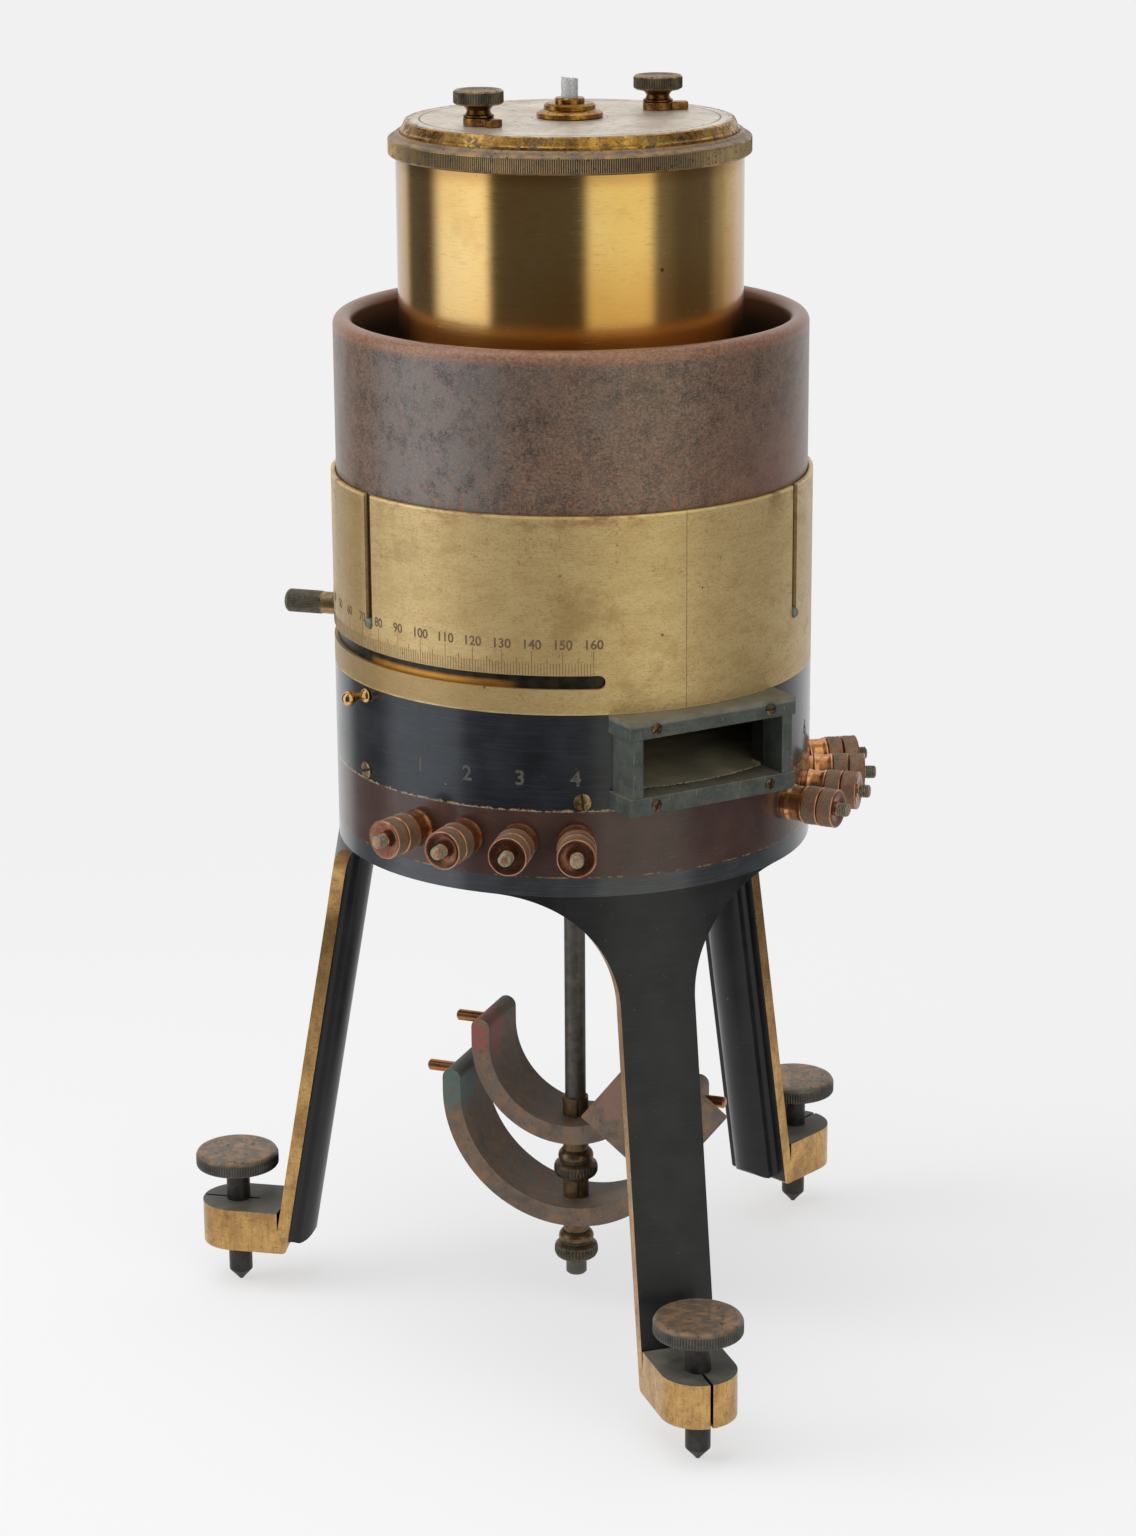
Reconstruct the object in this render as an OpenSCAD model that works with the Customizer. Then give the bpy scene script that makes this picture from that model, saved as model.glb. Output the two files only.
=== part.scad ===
// Reflecting galvanometer with an iron shield, on a tripod with levelling screws.
// Millimetres. +Z is up, the origin is on the instrument's axis at the level of the
// three foot tips, and the window that lets the light beam in faces -Y.
// Azimuths are measured from -Y towards +X.

/* [Round body] */
// Height of the base plate's underside above the foot tips
base_height = 183; // [176:1:195]
// Outer radius of the base, the rings and the scale sleeve
body_radius = 81.4; // [79:0.2:85]
// Thickness of the base plate
base_thickness = 6.4; // [5:0.1:9]
// Height of the terminal ring
ring_height = 22.6; // [20:0.1:26]
// Wall of the terminal ring
ring_wall = 10; // [7:0.5:12]
// Height of the housing behind the window
housing_height = 32.7; // [30:0.1:38]
// Wall of the housing
housing_wall = 6; // [4:0.5:8]
// Thickness of the housing's floor, level with the window's sill
floor_thickness = 3; // [2:0.5:5]
// Thickness of the deck that closes the housing
deck_thickness = 4; // [3:0.5:5]

/* [Scale sleeve and shield] */
// Height of the scale sleeve
sleeve_height = 65.3; // [60:0.1:72]
// Wall of the scale sleeve
sleeve_wall = 1.5; // [1:0.1:2.5]
// Height of the iron shield
shield_height = 100.2; // [80:0.1:115]
// Wall of the iron shield
shield_wall = 6.4; // [5:0.2:7.5]
// Width of the open-topped guide slots in the sleeve
guide_slot_width = 3.8; // [3:0.1:4.5]
// Width of the long slot under the scale
scale_slot_width = 4.6; // [4.2:0.1:5.5]
// Azimuth where the long slot's travel begins
scale_start = -138.7; // [-142:0.1:-130]
// Angle that the index handle travels along the slot
scale_travel = 113.5; // [90:0.1:120]
// Height of the index ring
index_ring_height = 13; // [10:0.5:13]
// Wall of the index ring
index_ring_wall = 3; // [2:0.5:5]
// Radius of the index handle's knurled grip
handle_radius = 4.05; // [3.2:0.05:4.5]
// How far the index handle stands out of the sleeve
handle_length = 24; // [18:1:30]

/* [Can and lid] */
// Outer radius of the inner brass can
can_radius = 57.65; // [55:0.1:60]
// Wall of the inner brass can
can_wall = 1.8; // [1.2:0.1:2.5]
// Height of the inner brass can above the deck
can_height = 171.3; // [165:0.1:180]
// Height of the knurled band of the lid ring
lid_band_height = 6.1; // [5:0.1:8]
// How far the lid ring stands out from the can
lid_overhang = 2.45; // [1.5:0.05:4]
// Radius of the torsion hub's flange
hub_radius = 11; // [9:0.1:13]
// Outer radius of the glass suspension tube
glass_radius = 2.8; // [2.2:0.1:3.4]
// Radius of the circle on which the two thumbscrews stand
thumb_circle = 36; // [30:0.5:38]
// Radius of a thumbscrew's knurled head
thumb_head_radius = 8.2; // [6.5:0.1:9]
// Height of a thumbscrew's head above the top plate
thumb_height = 11.6; // [10:0.1:14]

/* [Window] */
// Width of the window box across its two bars
window_width = 63.6; // [58:0.1:66]
// How far the front of the window box stands out of the drum
window_depth = 7.2; // [6.2:0.1:12]
// Width of the tunnel
tunnel_width = 53.6; // [46:0.1:54]
// Height of the top and bottom bars
window_bar = 5.9; // [5:0.1:7.5]
// How far the bars stand past the cheeks at each side
window_overhang = 1.1; // [0.4:0.1:1.5]

/* [Terminals] */
// Radius of a terminal's knurled nuts
nut_radius = 6.5; // [5.5:0.1:7]
// Length of one knurled nut
nut_length = 5.4; // [4:0.1:6]
// Radius of a terminal's threaded stud
stud_radius = 2.4; // [1.8:0.05:2.6]
// Length of the smooth collar next to the ring
collar_length = 8.1; // [6:0.1:9]
// How far the stud stands past the outer nut
stud_end = 3.9; // [3:0.1:6]
// Azimuth of the terminals nearest the window
terminal_first = 30.5; // [29:0.5:33]
// Angle between neighbouring terminals
terminal_pitch = 12.87; // [12.2:0.01:14]

/* [Tripod] */
// Azimuth of the front leg
front_leg_azimuth = -12.6; // [-20:0.2:-5]
// Radius of the circle through the three foot tips
foot_circle = 126; // [120:0.5:133]
// How far a levelling screw's axis stands out from its leg's lower end
foot_reach = 15.7; // [15:0.1:20]
// Width of a leg and of its foot lug
leg_width = 26; // [22:0.5:28]
// Thickness of a leg's face plate
leg_plate = 4.5; // [3.5:0.1:6]
// Depth of the moulded rib behind the face plate
rib_depth = 7.6; // [6:0.1:10]
// Radius of the concave flare at the top of a leg
flare_radius = 37; // [28:1:40]
// Thickness of a foot lug
lug_thickness = 15.6; // [13:0.1:18]
// Height of a foot lug's underside above the tips
lug_height = 16.7; // [12:0.1:18]
// Radius of a levelling screw's shaft
screw_radius = 4.25; // [3.5:0.05:5]
// Radius of a levelling screw's head
screw_head_radius = 15; // [12:0.1:16]
// Thickness of a levelling screw's head
screw_head_thickness = 6; // [5:0.5:9]
// Gap between a levelling screw's head and the lug
screw_gap = 13; // [8:0.1:14]

/* [Directing magnets] */
// Radius of the rod below the base
rod_radius = 3.7; // [3:0.1:4.2]
// Height of the rod's lower end above the tips
rod_end = 13.3; // [11:0.1:16]
// Azimuth that the near faces of the magnets look towards
magnet_azimuth = -51.5; // [-60:0.5:-40]
// Outer radius of the upper magnet's bend
upper_radius = 34.35; // [32:0.05:36]
// Outer radius of the lower magnet's bend
lower_radius = 45.8; // [44.5:0.1:47]
// Thickness of the magnets' bars
magnet_thickness = 6.8; // [5.5:0.1:7]
// Width of the magnets' bars
magnet_width = 26; // [22:0.5:27]
// Height of the centre of the upper magnet's bend
upper_centre = 102.1; // [101:0.1:106]
// Height of the centre of the lower magnet's bend
lower_centre = 82.3; // [81:0.1:83.5]
// Length of the straight part of the upper magnet's arms
upper_arm = 5.4; // [3:0.1:8]
// Length of the straight part of the lower magnet's arms
lower_arm = 4.7; // [3:0.1:8]
// Wall of the split collets on the rod
collet_wall = 0.8; // [0.6:0.05:1.5]
// Radius of the clamp nuts' larger tier
clamp_nut_radius = 7.85; // [6.8:0.05:9]
// Side of the square keeper plate
keeper_side = 38; // [32:0.5:40]
// Thickness of the keeper plate
keeper_thickness = 3.2; // [2:0.1:5]

/* [Hidden] */
$fn = 96;

// Clearances
running = 0.05;     // a turning or sliding fit, on the radius
loose = 0.3;        // pieces that pass each other without touching
overcut = 1;        // how far a cutter runs past the surface that it opens

// Levels of the round body, from the base upwards
ring_z = base_height + base_thickness;
housing_z = ring_z + ring_height;
sleeve_z = housing_z + housing_height;
sleeve_top = sleeve_z + sleeve_height;
deck_top = sleeve_z + deck_thickness;
sleeve_inner = body_radius - sleeve_wall;

// Index ring, its slot and its handle
index_z = deck_top + loose;
index_top = index_z + index_ring_height;
index_outer = sleeve_inner - running;
index_inner = index_outer - index_ring_wall;
slot_z = index_z + index_ring_height / 2;
handle_neck_radius = scale_slot_width / 2 - loose;
handle_tip = body_radius + handle_length;
handle_collar = handle_radius - 0.2;
handle_grip = body_radius + 0.42 * handle_length;
handle_dome = 0.45 * handle_radius;

// Iron shield, its pins and their guide slots
shield_outer = sleeve_inner - loose;
shield_inner = shield_outer - shield_wall;
shield_z = index_top + loose;
shield_top = shield_z + shield_height;
pin_z = shield_z + 4.5;
pin_radius = guide_slot_width / 2 - 0.2;
pin_stand = 1.1;
guide_azimuths = [-86.4, 33.6, 153.6];

// Can, lid and top plate
can_top = deck_top + can_height;
can_inner = can_radius - can_wall;
lid_lip = 1;
lid_band_z = can_top - lid_band_height + lid_lip;
lid_outer = can_radius + lid_overhang;
lid_top = lid_band_z + lid_band_height;
bezel_flange = 1;
bezel_step = can_radius - 1.6;
bezel_rise = 6.3;
plate_top = can_top + bezel_rise;
plate_radius = can_radius - 4.2;
plate_thickness = 2.5;

// Torsion hub, head and tube
hub_height = 2.9;
hub_top = plate_top + hub_height;
head_radius = hub_radius - 2.45;
head_height = 1.9;
head_top = hub_top + running + head_height;
head_collar = glass_radius + 2.15;
head_collar_height = 1.7;
spigot_radius = glass_radius + 2.2;
spigot_low = can_top + 1;
tube_seat = spigot_low + 2;
tube_wall = 0.8;
tube_stub = 6.7;
tube_top = head_top + head_collar_height + tube_stub;
fibre_radius = 0.3;

// Thumbscrews and latches
left_thumb_azimuth = -86;
right_thumb_azimuth = 94;
left_tongue_azimuth = 6;
right_tongue_azimuth = 64;
latch_thickness = 2.6;
latch_boss = 5.1;
latch_reach = 10;
latch_width = 4.6;
thumb_shank = 2.4;
thumb_head_thickness = 4.9;
thumb_neck = 3.9;

// Window box
window_front = body_radius + window_depth;
window_bar_run = window_front - 0.8 * body_radius;
tunnel_z = housing_z + 1.2 + window_bar;
tunnel_top = sleeve_z - window_bar;
cheek_outer = window_width / 2 - window_overhang;
window_step = 0.2;
window_screw_spread = 22;
window_screw_radius = 1.9;
window_screw_length = 4;

// Housing screws and the arrest knob
housing_screw_radius = 2.9;
housing_screw_first = -89;
housing_screw_count = 6;
knob_z = sleeve_z - 3;
knob_azimuth = -88;
knob_stem = 0.95;
knob_stem_reach = housing_wall + 2;
knob_flange = 2.7;
knob_flange_thickness = 1.4;
knob_neck = 1.45;
knob_ball = 2.5;
knob_ball_reach = 6.95;

// Terminals
terminal_z = ring_z + ring_height * 0.57;
collar_radius = nut_radius - 0.2;
collar_waist = collar_radius - 0.4;
seat_radius = nut_radius - 1.1;
seat_length = 1.4;
lock_nut_r = body_radius + collar_length;
outer_nut_r = lock_nut_r + nut_length + 0.2;
nut_face = outer_nut_r + nut_length;
stud_tip = nut_face + stud_end;
stud_end_radius = stud_radius - 0.25;
terminal_azimuths = concat(
    [for (i = [3:-1:0]) -terminal_first - i * terminal_pitch],
    [for (i = [0:3]) terminal_first + i * terminal_pitch]);

// Legs and feet
leg_foot_radius = foot_circle - foot_reach;
leg_azimuths = [front_leg_azimuth, front_leg_azimuth + 120, front_leg_azimuth - 120];
leg_lean = atan((leg_foot_radius - body_radius) / (base_height - lug_height));
leg_run = (base_height - lug_height) / cos(leg_lean);
rib_width = leg_width * 0.62;
rib_end_radius = 4.5;
rib_lift = 4;
heel_radius = 2;
lug_top = lug_height + lug_thickness;
head_z = lug_top + screw_gap;
toe_radius = 1;
toe_height = 0.8;
pad_thickness = 7;
pad_reach = 24;
pad_inner = body_radius - pad_reach;
leg_screw_radius = 3;
leg_screw_spread = 7;
leg_screw_circle = body_radius - ring_wall - leg_screw_radius - 1.5;

// Magnets, collets and clamp nuts
collet_bore = rod_radius + running;
collet_outer = collet_bore + collet_wall;
collet_stand = 6.8;
upper_low = upper_centre - upper_radius;
lower_low = lower_centre - lower_radius;
nut_drop = 6.5;
nut_tier = 4.2;
nut_body = 6.65;
collet_thread = 8.5;
rod_flange_radius = 9;
rod_flange = 4;
pin_reach = 10.3;
turning_pin_radius = 2;
pin_bury = 3;
lower_magnet_width = magnet_width - 2 * loose;
keeper_turn = 38.4;
keeper_across = upper_radius + 0.2;
keeper_z = upper_centre - 18.7;

// Inner works, as such an instrument holds them
inner_shield_radius = 49;
inner_shield_wall = 4;
inner_shield_height = 140;
coil_outer = 19;
coil_bore = 5;
coil_depth = 11;
coil_gap = 7;
coil_rise = 46;
coil_low = deck_top + coil_rise;
coil_high = coil_low + coil_rise;
well_radius = 9;
shield_hole = 6;
needle_length = 10;
upright_thickness = 3;
frame_ring = 4;
stem_radius = 0.8;
stem_low = tunnel_z + 1;
stem_top = coil_high + 24;
mirror_radius = 6;
mirror_z = (tunnel_z + tunnel_top) / 2;
stud_inner = body_radius - ring_wall - 0.6;
lead_radius = 0.8;
lead_bend = 3;
lead_rise = stud_inner - lead_radius;
lead_circle = 38;
lead_level = sleeve_z - lead_radius - loose;
lead_top = deck_top + frame_ring;

// Places a piece that is drawn on the -Y side at an azimuth
module around(azimuth) rotate([0, 0, azimuth]) children();

// Turns a piece drawn along +Z so that it points outwards along -Y from a radius and height
module outward(radius, z) translate([0, -radius, z]) rotate([90, 0, 0]) children();

// A round part from its half profile
module turned(profile) rotate_extrude() polygon(profile);

module tube(outer, inner, height) {
    difference() {
        cylinder(r = outer, h = height);
        translate([0, 0, -overcut]) cylinder(r = inner, h = height + 2 * overcut);
    }
}

// Cheese head with a slot, standing on z = 0, with a shank below
module slotted_screw(radius, head, shank, length) {
    difference() {
        union() {
            cylinder(r = radius, h = head);
            translate([0, 0, -length]) cylinder(r = shank, h = length);
        }
        translate([-radius - overcut, -radius * 0.14, head * 0.4])
            cube([2 * (radius + overcut), radius * 0.28, head]);
    }
}

// Knurled nut blank with worn edges, from z = 0 upwards
module nut_blank(radius, bore, length, edge = 0.5) {
    turned([[bore, 0], [radius - edge, 0], [radius, edge], [radius, length - edge],
            [radius - edge, length], [bore, length]]);
}

module base_plate() color([0.12, 0.13, 0.15]) difference() {
    translate([0, 0, base_height]) cylinder(r = body_radius, h = base_thickness);
    translate([0, 0, base_height - overcut]) cylinder(r = rod_radius, h = base_thickness + 2 * overcut);
    for (a = leg_azimuths) around(a) leg_screw_places()
        cylinder(r = leg_screw_radius * 0.6, h = base_thickness * 3, center = true);
}

// Places of a leg's two screws, for the leg that is drawn on the -Y side
module leg_screw_places() for (side = [-1, 1])
    translate([side * leg_screw_spread, -leg_screw_circle, ring_z]) children();

module terminal_ring() color([0.24, 0.18, 0.165]) difference() {
    translate([0, 0, ring_z]) tube(body_radius, body_radius - ring_wall, ring_height);
    for (a = terminal_azimuths) around(a)
        outward(body_radius - ring_wall - overcut, terminal_z)
            cylinder(r = stud_radius, h = ring_wall + 2 * overcut);
}

// Turned drum with a floor and an opening for the light
module housing() color([0.13, 0.145, 0.165]) difference() {
    turned([[0, tunnel_z - floor_thickness], [body_radius - housing_wall, tunnel_z - floor_thickness],
            [body_radius - housing_wall, housing_z], [body_radius, housing_z], [body_radius, sleeve_z],
            [body_radius - housing_wall, sleeve_z], [body_radius - housing_wall, tunnel_z], [0, tunnel_z]]);
    lead_places(lead_rise, tunnel_z - floor_thickness - overcut)
        cylinder(r = lead_radius + running, h = floor_thickness + 2 * overcut);
    translate([-tunnel_width / 2, -window_front, tunnel_z])
        cube([tunnel_width, window_bar_run + body_radius * 0.2, tunnel_top - tunnel_z]);
    for (i = [0:housing_screw_count - 1]) around(housing_screw_first + i * 360 / housing_screw_count)
        outward(body_radius - housing_wall - overcut, housing_z + housing_screw_radius + 0.6)
            cylinder(r = housing_screw_radius * 0.5, h = housing_wall + 2 * overcut);
    around(knob_azimuth) outward(body_radius - housing_wall - overcut, knob_z)
        cylinder(r = knob_stem + running, h = housing_wall + 2 * overcut);
}

module deck_plate() color([0.55, 0.43, 0.2]) difference() {
    translate([0, 0, sleeve_z]) cylinder(r = sleeve_inner, h = deck_thickness);
    translate([0, 0, sleeve_z - overcut]) cylinder(r = well_radius, h = deck_thickness + 2 * overcut);
    lead_places(lead_circle, sleeve_z - overcut)
        cylinder(r = 2 * lead_radius, h = deck_thickness + 2 * overcut);
}

// Bars and cheeks of the window box end on the housing ring's own round face
module window_piece(low_x, high_x, low_z, high_z, front) difference() {
    translate([low_x, -front, low_z]) cube([high_x - low_x, window_bar_run, high_z - low_z]);
    translate([0, 0, low_z - overcut]) cylinder(r = body_radius, h = high_z - low_z + 2 * overcut);
    window_screw_places()
        cylinder(r = window_screw_radius * 0.55, h = 2 * (window_bar_run + overcut), center = true);
}

module window_screw_places() {
    for (x = [-1, 1], z = [tunnel_top + window_bar / 2, tunnel_z - window_bar / 2])
        translate([x * window_screw_spread, -window_front, z]) rotate([90, 0, 0]) children();
}

module window_top_bar() color([0.27, 0.3, 0.28])
    window_piece(-window_width / 2, window_width / 2, tunnel_top, sleeve_z, window_front);
module window_bottom_bar() color([0.27, 0.3, 0.28])
    window_piece(-window_width / 2, window_width / 2, tunnel_z - window_bar, tunnel_z, window_front);
module window_left_cheek() color([0.27, 0.3, 0.28])
    window_piece(-cheek_outer, -tunnel_width / 2, tunnel_z, tunnel_top, window_front - window_step);
module window_right_cheek() color([0.27, 0.3, 0.28])
    window_piece(tunnel_width / 2, cheek_outer, tunnel_z, tunnel_top, window_front - window_step);

module window_screws() color([0.62, 0.47, 0.27]) window_screw_places()
    slotted_screw(window_screw_radius, 0.5, window_screw_radius * 0.55, window_screw_length);

module housing_screws() color([0.62, 0.47, 0.27])
    for (i = [0:housing_screw_count - 1]) around(housing_screw_first + i * 360 / housing_screw_count)
        outward(body_radius, housing_z + housing_screw_radius + 0.6)
            slotted_screw(housing_screw_radius, 0.8, housing_screw_radius * 0.5, housing_wall);

// Ball on a neck, with a flange against the housing and a stem through its wall
module arrest_knob() color([0.7, 0.52, 0.28]) around(knob_azimuth)
    outward(body_radius + 2 * running, knob_z) {
        start = acos(knob_neck / knob_ball);
        turned(concat([[0, -knob_stem_reach], [knob_stem, -knob_stem_reach], [knob_stem, 0],
                [knob_flange - 0.3, 0], [knob_flange, 0.3], [knob_flange, knob_flange_thickness - 0.3],
                [knob_flange - 0.3, knob_flange_thickness], [knob_neck, knob_flange_thickness]],
                [for (k = [0:9]) let (t = -start + k * (90 + start) / 10)
                    [knob_ball * cos(t), knob_ball_reach + knob_ball * sin(t)]],
                [[0, knob_ball_reach + knob_ball]]));
    }

// Ring sector between two azimuths, for the long slot
module sector_cut(inner, outer, low, high, start, travel)
    rotate([0, 0, start - 90]) rotate_extrude(angle = travel)
        translate([inner, low]) square([outer - inner, high - low]);

module scale_sleeve() color([0.65, 0.57, 0.37]) difference() {
    translate([0, 0, sleeve_z]) tube(body_radius, sleeve_inner, sleeve_height);
    sector_cut(sleeve_inner - overcut, body_radius + overcut,
        slot_z - scale_slot_width / 2, slot_z + scale_slot_width / 2, scale_start, scale_travel);
    for (a = [scale_start, scale_start + scale_travel]) around(a)
        outward(sleeve_inner - overcut, slot_z)
            cylinder(r = scale_slot_width / 2, h = sleeve_wall + 2 * overcut);
    for (a = guide_azimuths) around(a) {
        outward(sleeve_inner - overcut, pin_z)
            cylinder(r = guide_slot_width / 2, h = sleeve_wall + 2 * overcut);
        translate([-guide_slot_width / 2, -body_radius - overcut, pin_z])
            cube([guide_slot_width, sleeve_wall + 2 * overcut, sleeve_top]);
    }
}

module index_ring() color([0.8, 0.62, 0.3]) difference() {
    translate([0, 0, index_z]) tube(index_outer, index_inner, index_ring_height);
    around(scale_start) outward(index_inner - overcut, slot_z)
        cylinder(r = handle_neck_radius, h = index_ring_wall + 2 * overcut);
}

// Neck through the slot, a plain collar, and a knurled grip with a domed end
module index_handle() color([0.3, 0.26, 0.2]) around(scale_start) outward(0, slot_z)
    turned(concat([[0, index_inner], [handle_neck_radius, index_inner],
            [handle_neck_radius, body_radius + loose], [handle_collar - 0.7, body_radius + loose],
            [handle_collar, body_radius + loose + 0.9], [handle_collar, handle_grip],
            [handle_radius, handle_grip + 0.4]],
            [for (t = [0:15:75]) [handle_radius * cos(t), handle_tip - handle_dome * (1 - sin(t))]],
            [[0, handle_tip]]));

// Tube with a full round rim at its top
module iron_shield() color([0.4, 0.31, 0.28]) difference() {
    union() {
        translate([0, 0, shield_z]) tube(shield_outer, shield_inner, shield_height - shield_wall / 2);
        translate([0, 0, shield_top - shield_wall / 2]) rotate_extrude()
            translate([(shield_outer + shield_inner) / 2, 0]) circle(r = shield_wall / 2, $fn = 48);
    }
    for (a = guide_azimuths) around(a) outward(shield_inner - overcut, pin_z)
        cylinder(r = pin_radius * 0.7, h = shield_wall + 2 * overcut);
}

module shield_pins() color([0.3, 0.28, 0.26]) for (a = guide_azimuths) around(a)
    outward(0, pin_z) turned([[0, shield_inner], [pin_radius * 0.7, shield_inner],
        [pin_radius * 0.7, shield_outer], [pin_radius, shield_outer],
        [pin_radius, body_radius + pin_stand - 0.5], [pin_radius - 0.5, body_radius + pin_stand],
        [0, body_radius + pin_stand]]);

module inner_can() color([0.75, 0.57, 0.27])
    translate([0, 0, deck_top]) tube(can_radius, can_inner, can_height);

// Knurled band with a lip that holds the bezel down
module lid_ring() color([0.42, 0.35, 0.24]) {
    bore = can_radius + running;
    lip = bezel_step + running;
    turned([[bore, lid_band_z], [lid_outer - 0.5, lid_band_z], [lid_outer, lid_band_z + 0.5],
            [lid_outer, lid_top - 0.6], [lid_outer - 0.6, lid_top], [lid_outer - 2, lid_top + 0.4],
            [lid_outer - 2.6, lid_top + 1.3], [lip, lid_top + 1.3],
            [lip, can_top + bezel_flange + running], [bore, can_top + bezel_flange + running]]);
}

// Bevelled brass rim round the top plate
module top_bezel() color([0.7, 0.54, 0.28]) {
    seat = plate_top - plate_thickness;
    turned([[can_inner - 4, can_top], [can_radius, can_top], [can_radius, can_top + bezel_flange],
            [bezel_step, can_top + bezel_flange], [bezel_step, can_top + 3.1],
            [bezel_step - 0.5, can_top + 3.6], [plate_radius + 1, plate_top - 0.3],
            [plate_radius + 0.4, plate_top], [plate_radius, plate_top], [plate_radius, seat],
            [can_inner - 4, seat]]);
}

module top_plate() color([0.55, 0.55, 0.53]) difference() {
    translate([0, 0, plate_top - plate_thickness]) cylinder(r = plate_radius, h = plate_thickness);
    translate([0, 0, can_top]) cylinder(r = spigot_radius + running, h = 3 * plate_thickness);
    for (a = [left_thumb_azimuth, right_thumb_azimuth]) around(a)
        translate([0, -thumb_circle, can_top]) cylinder(r = thumb_shank + running, h = 3 * plate_thickness);
}

module torsion_hub() color([0.72, 0.56, 0.28])
    turned([[spigot_radius + running, plate_top], [hub_radius - 0.5, plate_top],
            [hub_radius, plate_top + 0.4], [hub_radius, plate_top + 1.7],
            [hub_radius - 0.6, plate_top + 2], [head_radius + 0.6, hub_top - 0.3],
            [head_radius, hub_top], [spigot_radius + running, hub_top]]);

// Stepped cap on a spigot, whose end wall holds the fibre and seats the tube
module torsion_head() color([0.78, 0.6, 0.3]) {
    low = hub_top + running;
    turned([[fibre_radius + running, spigot_low], [spigot_radius, spigot_low], [spigot_radius, low],
            [head_radius, low], [head_radius, head_top - 0.7], [head_radius - 0.8, head_top],
            [head_collar, head_top], [head_collar, head_top + head_collar_height - 0.4],
            [head_collar - 0.4, head_top + head_collar_height],
            [glass_radius, head_top + head_collar_height], [glass_radius, tube_seat],
            [fibre_radius + running, tube_seat]]);
}

module glass_tube() color([0.75, 0.78, 0.8, 0.5]) translate([0, 0, tube_seat])
    tube(glass_radius, glass_radius - tube_wall, tube_top - tube_seat);

module thumbscrew(azimuth) around(azimuth) translate([0, -thumb_circle, 0]) {
    low = plate_top + running + latch_thickness;
    top = plate_top + thumb_height;
    head_low = top - thumb_head_thickness;
    turned([[0, can_top + 2.5], [thumb_shank, can_top + 2.5], [thumb_shank, low],
            [latch_boss - 0.3, low], [latch_boss, low + 0.4], [latch_boss - 0.7, low + 1],
            [thumb_neck, low + 1.8], [thumb_neck + 0.4, head_low - 0.8],
            [thumb_neck + 1.6, head_low], [thumb_head_radius - 0.6, head_low],
            [thumb_head_radius, head_low + 0.8], [thumb_head_radius, top - 0.8],
            [thumb_head_radius - 0.8, top - 0.1], [thumb_head_radius - 2, top - 0.1],
            [thumb_head_radius - 2.4, top - 0.5], [0, top - 0.5]]);
}

// Plate with a round boss under the thumbscrew and a square-ended tongue
module latch(azimuth, tongue_azimuth) around(azimuth)
    translate([0, -thumb_circle, plate_top + running]) rotate([0, 0, tongue_azimuth - azimuth])
        linear_extrude(latch_thickness) difference() {
            union() {
                circle(r = latch_boss);
                translate([-latch_width / 2, -latch_reach]) square([latch_width, latch_reach]);
            }
            circle(r = thumb_shank);
        }

module left_thumbscrew() color([0.45, 0.36, 0.26]) thumbscrew(left_thumb_azimuth);
module right_thumbscrew() color([0.45, 0.36, 0.26]) thumbscrew(right_thumb_azimuth);
module left_latch() color([0.66, 0.46, 0.28]) latch(left_thumb_azimuth, left_tongue_azimuth);
module right_latch() color([0.66, 0.46, 0.28]) latch(right_thumb_azimuth, right_tongue_azimuth);

// Inner iron cylinder, closed at the top round the suspension
module inner_shield() color([0.35, 0.33, 0.32]) difference() {
    translate([0, 0, deck_top]) cylinder(r = inner_shield_radius, h = inner_shield_height);
    translate([0, 0, deck_top - overcut])
        cylinder(r = inner_shield_radius - inner_shield_wall,
                 h = inner_shield_height - inner_shield_wall + overcut);
    translate([0, 0, deck_top]) cylinder(r = shield_hole, h = inner_shield_height + overcut);
}

// Foot ring and two uprights that carry the coils front and rear of the needles
module coil_frame() color([0.2, 0.16, 0.14]) {
    face = coil_gap + coil_depth;
    difference() {
        translate([0, 0, deck_top])
            tube(inner_shield_radius - inner_shield_wall - 0.5, well_radius, frame_ring);
        lead_places(lead_circle, deck_top - overcut)
            cylinder(r = lead_radius + running, h = frame_ring + 2 * overcut);
    }
    for (side = [-1, 1]) difference() {
        translate([-coil_outer, side > 0 ? face : -face - upright_thickness, deck_top])
            cube([2 * coil_outer, upright_thickness, coil_high + coil_outer - deck_top]);
        for (z = [coil_low, coil_high]) translate([0, 0, z]) rotate([90, 0, 0])
            cylinder(r = coil_bore, h = 4 * face, center = true);
    }
}

module coils() color([0.5, 0.33, 0.12])
    for (z = [coil_low, coil_high], side = [-1, 1]) translate([0, side * coil_gap, z])
        rotate([side > 0 ? -90 : 90, 0, 0]) tube(coil_outer, coil_bore, coil_depth);

// Fibre, stem and the two sets of needles that swing in the coils
module needle_stem() color([0.6, 0.6, 0.62]) {
    translate([0, 0, stem_low]) cylinder(r = stem_radius, h = stem_top - stem_low, $fn = 24);
    translate([0, 0, stem_top]) cylinder(r = fibre_radius, h = tube_seat + 3 - stem_top, $fn = 16);
    for (z = [coil_low, coil_high], k = [-1, 0, 1])
        translate([-needle_length / 2, -0.6, z + 3 * k - 0.5]) cube([needle_length, 1.2, 1]);
}

module mirror() color([0.8, 0.84, 0.88]) translate([0, -stem_radius, mirror_z])
    rotate([90, 0, 0]) cylinder(r = mirror_radius, h = 0.8);

// Places where the leads rise on a circle
module lead_places(circle, z) for (a = terminal_azimuths)
    around(a) translate([0, -circle, z]) children();

// Quarter bend of wire in the plane of an azimuth, from a start angle
module lead_bend_at(y, z, start) translate([0, y, z]) rotate([90, 0, 90])
    rotate([0, 0, start]) rotate_extrude(angle = 90, $fn = 24)
        translate([lead_bend, 0]) circle(r = lead_radius);

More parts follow.
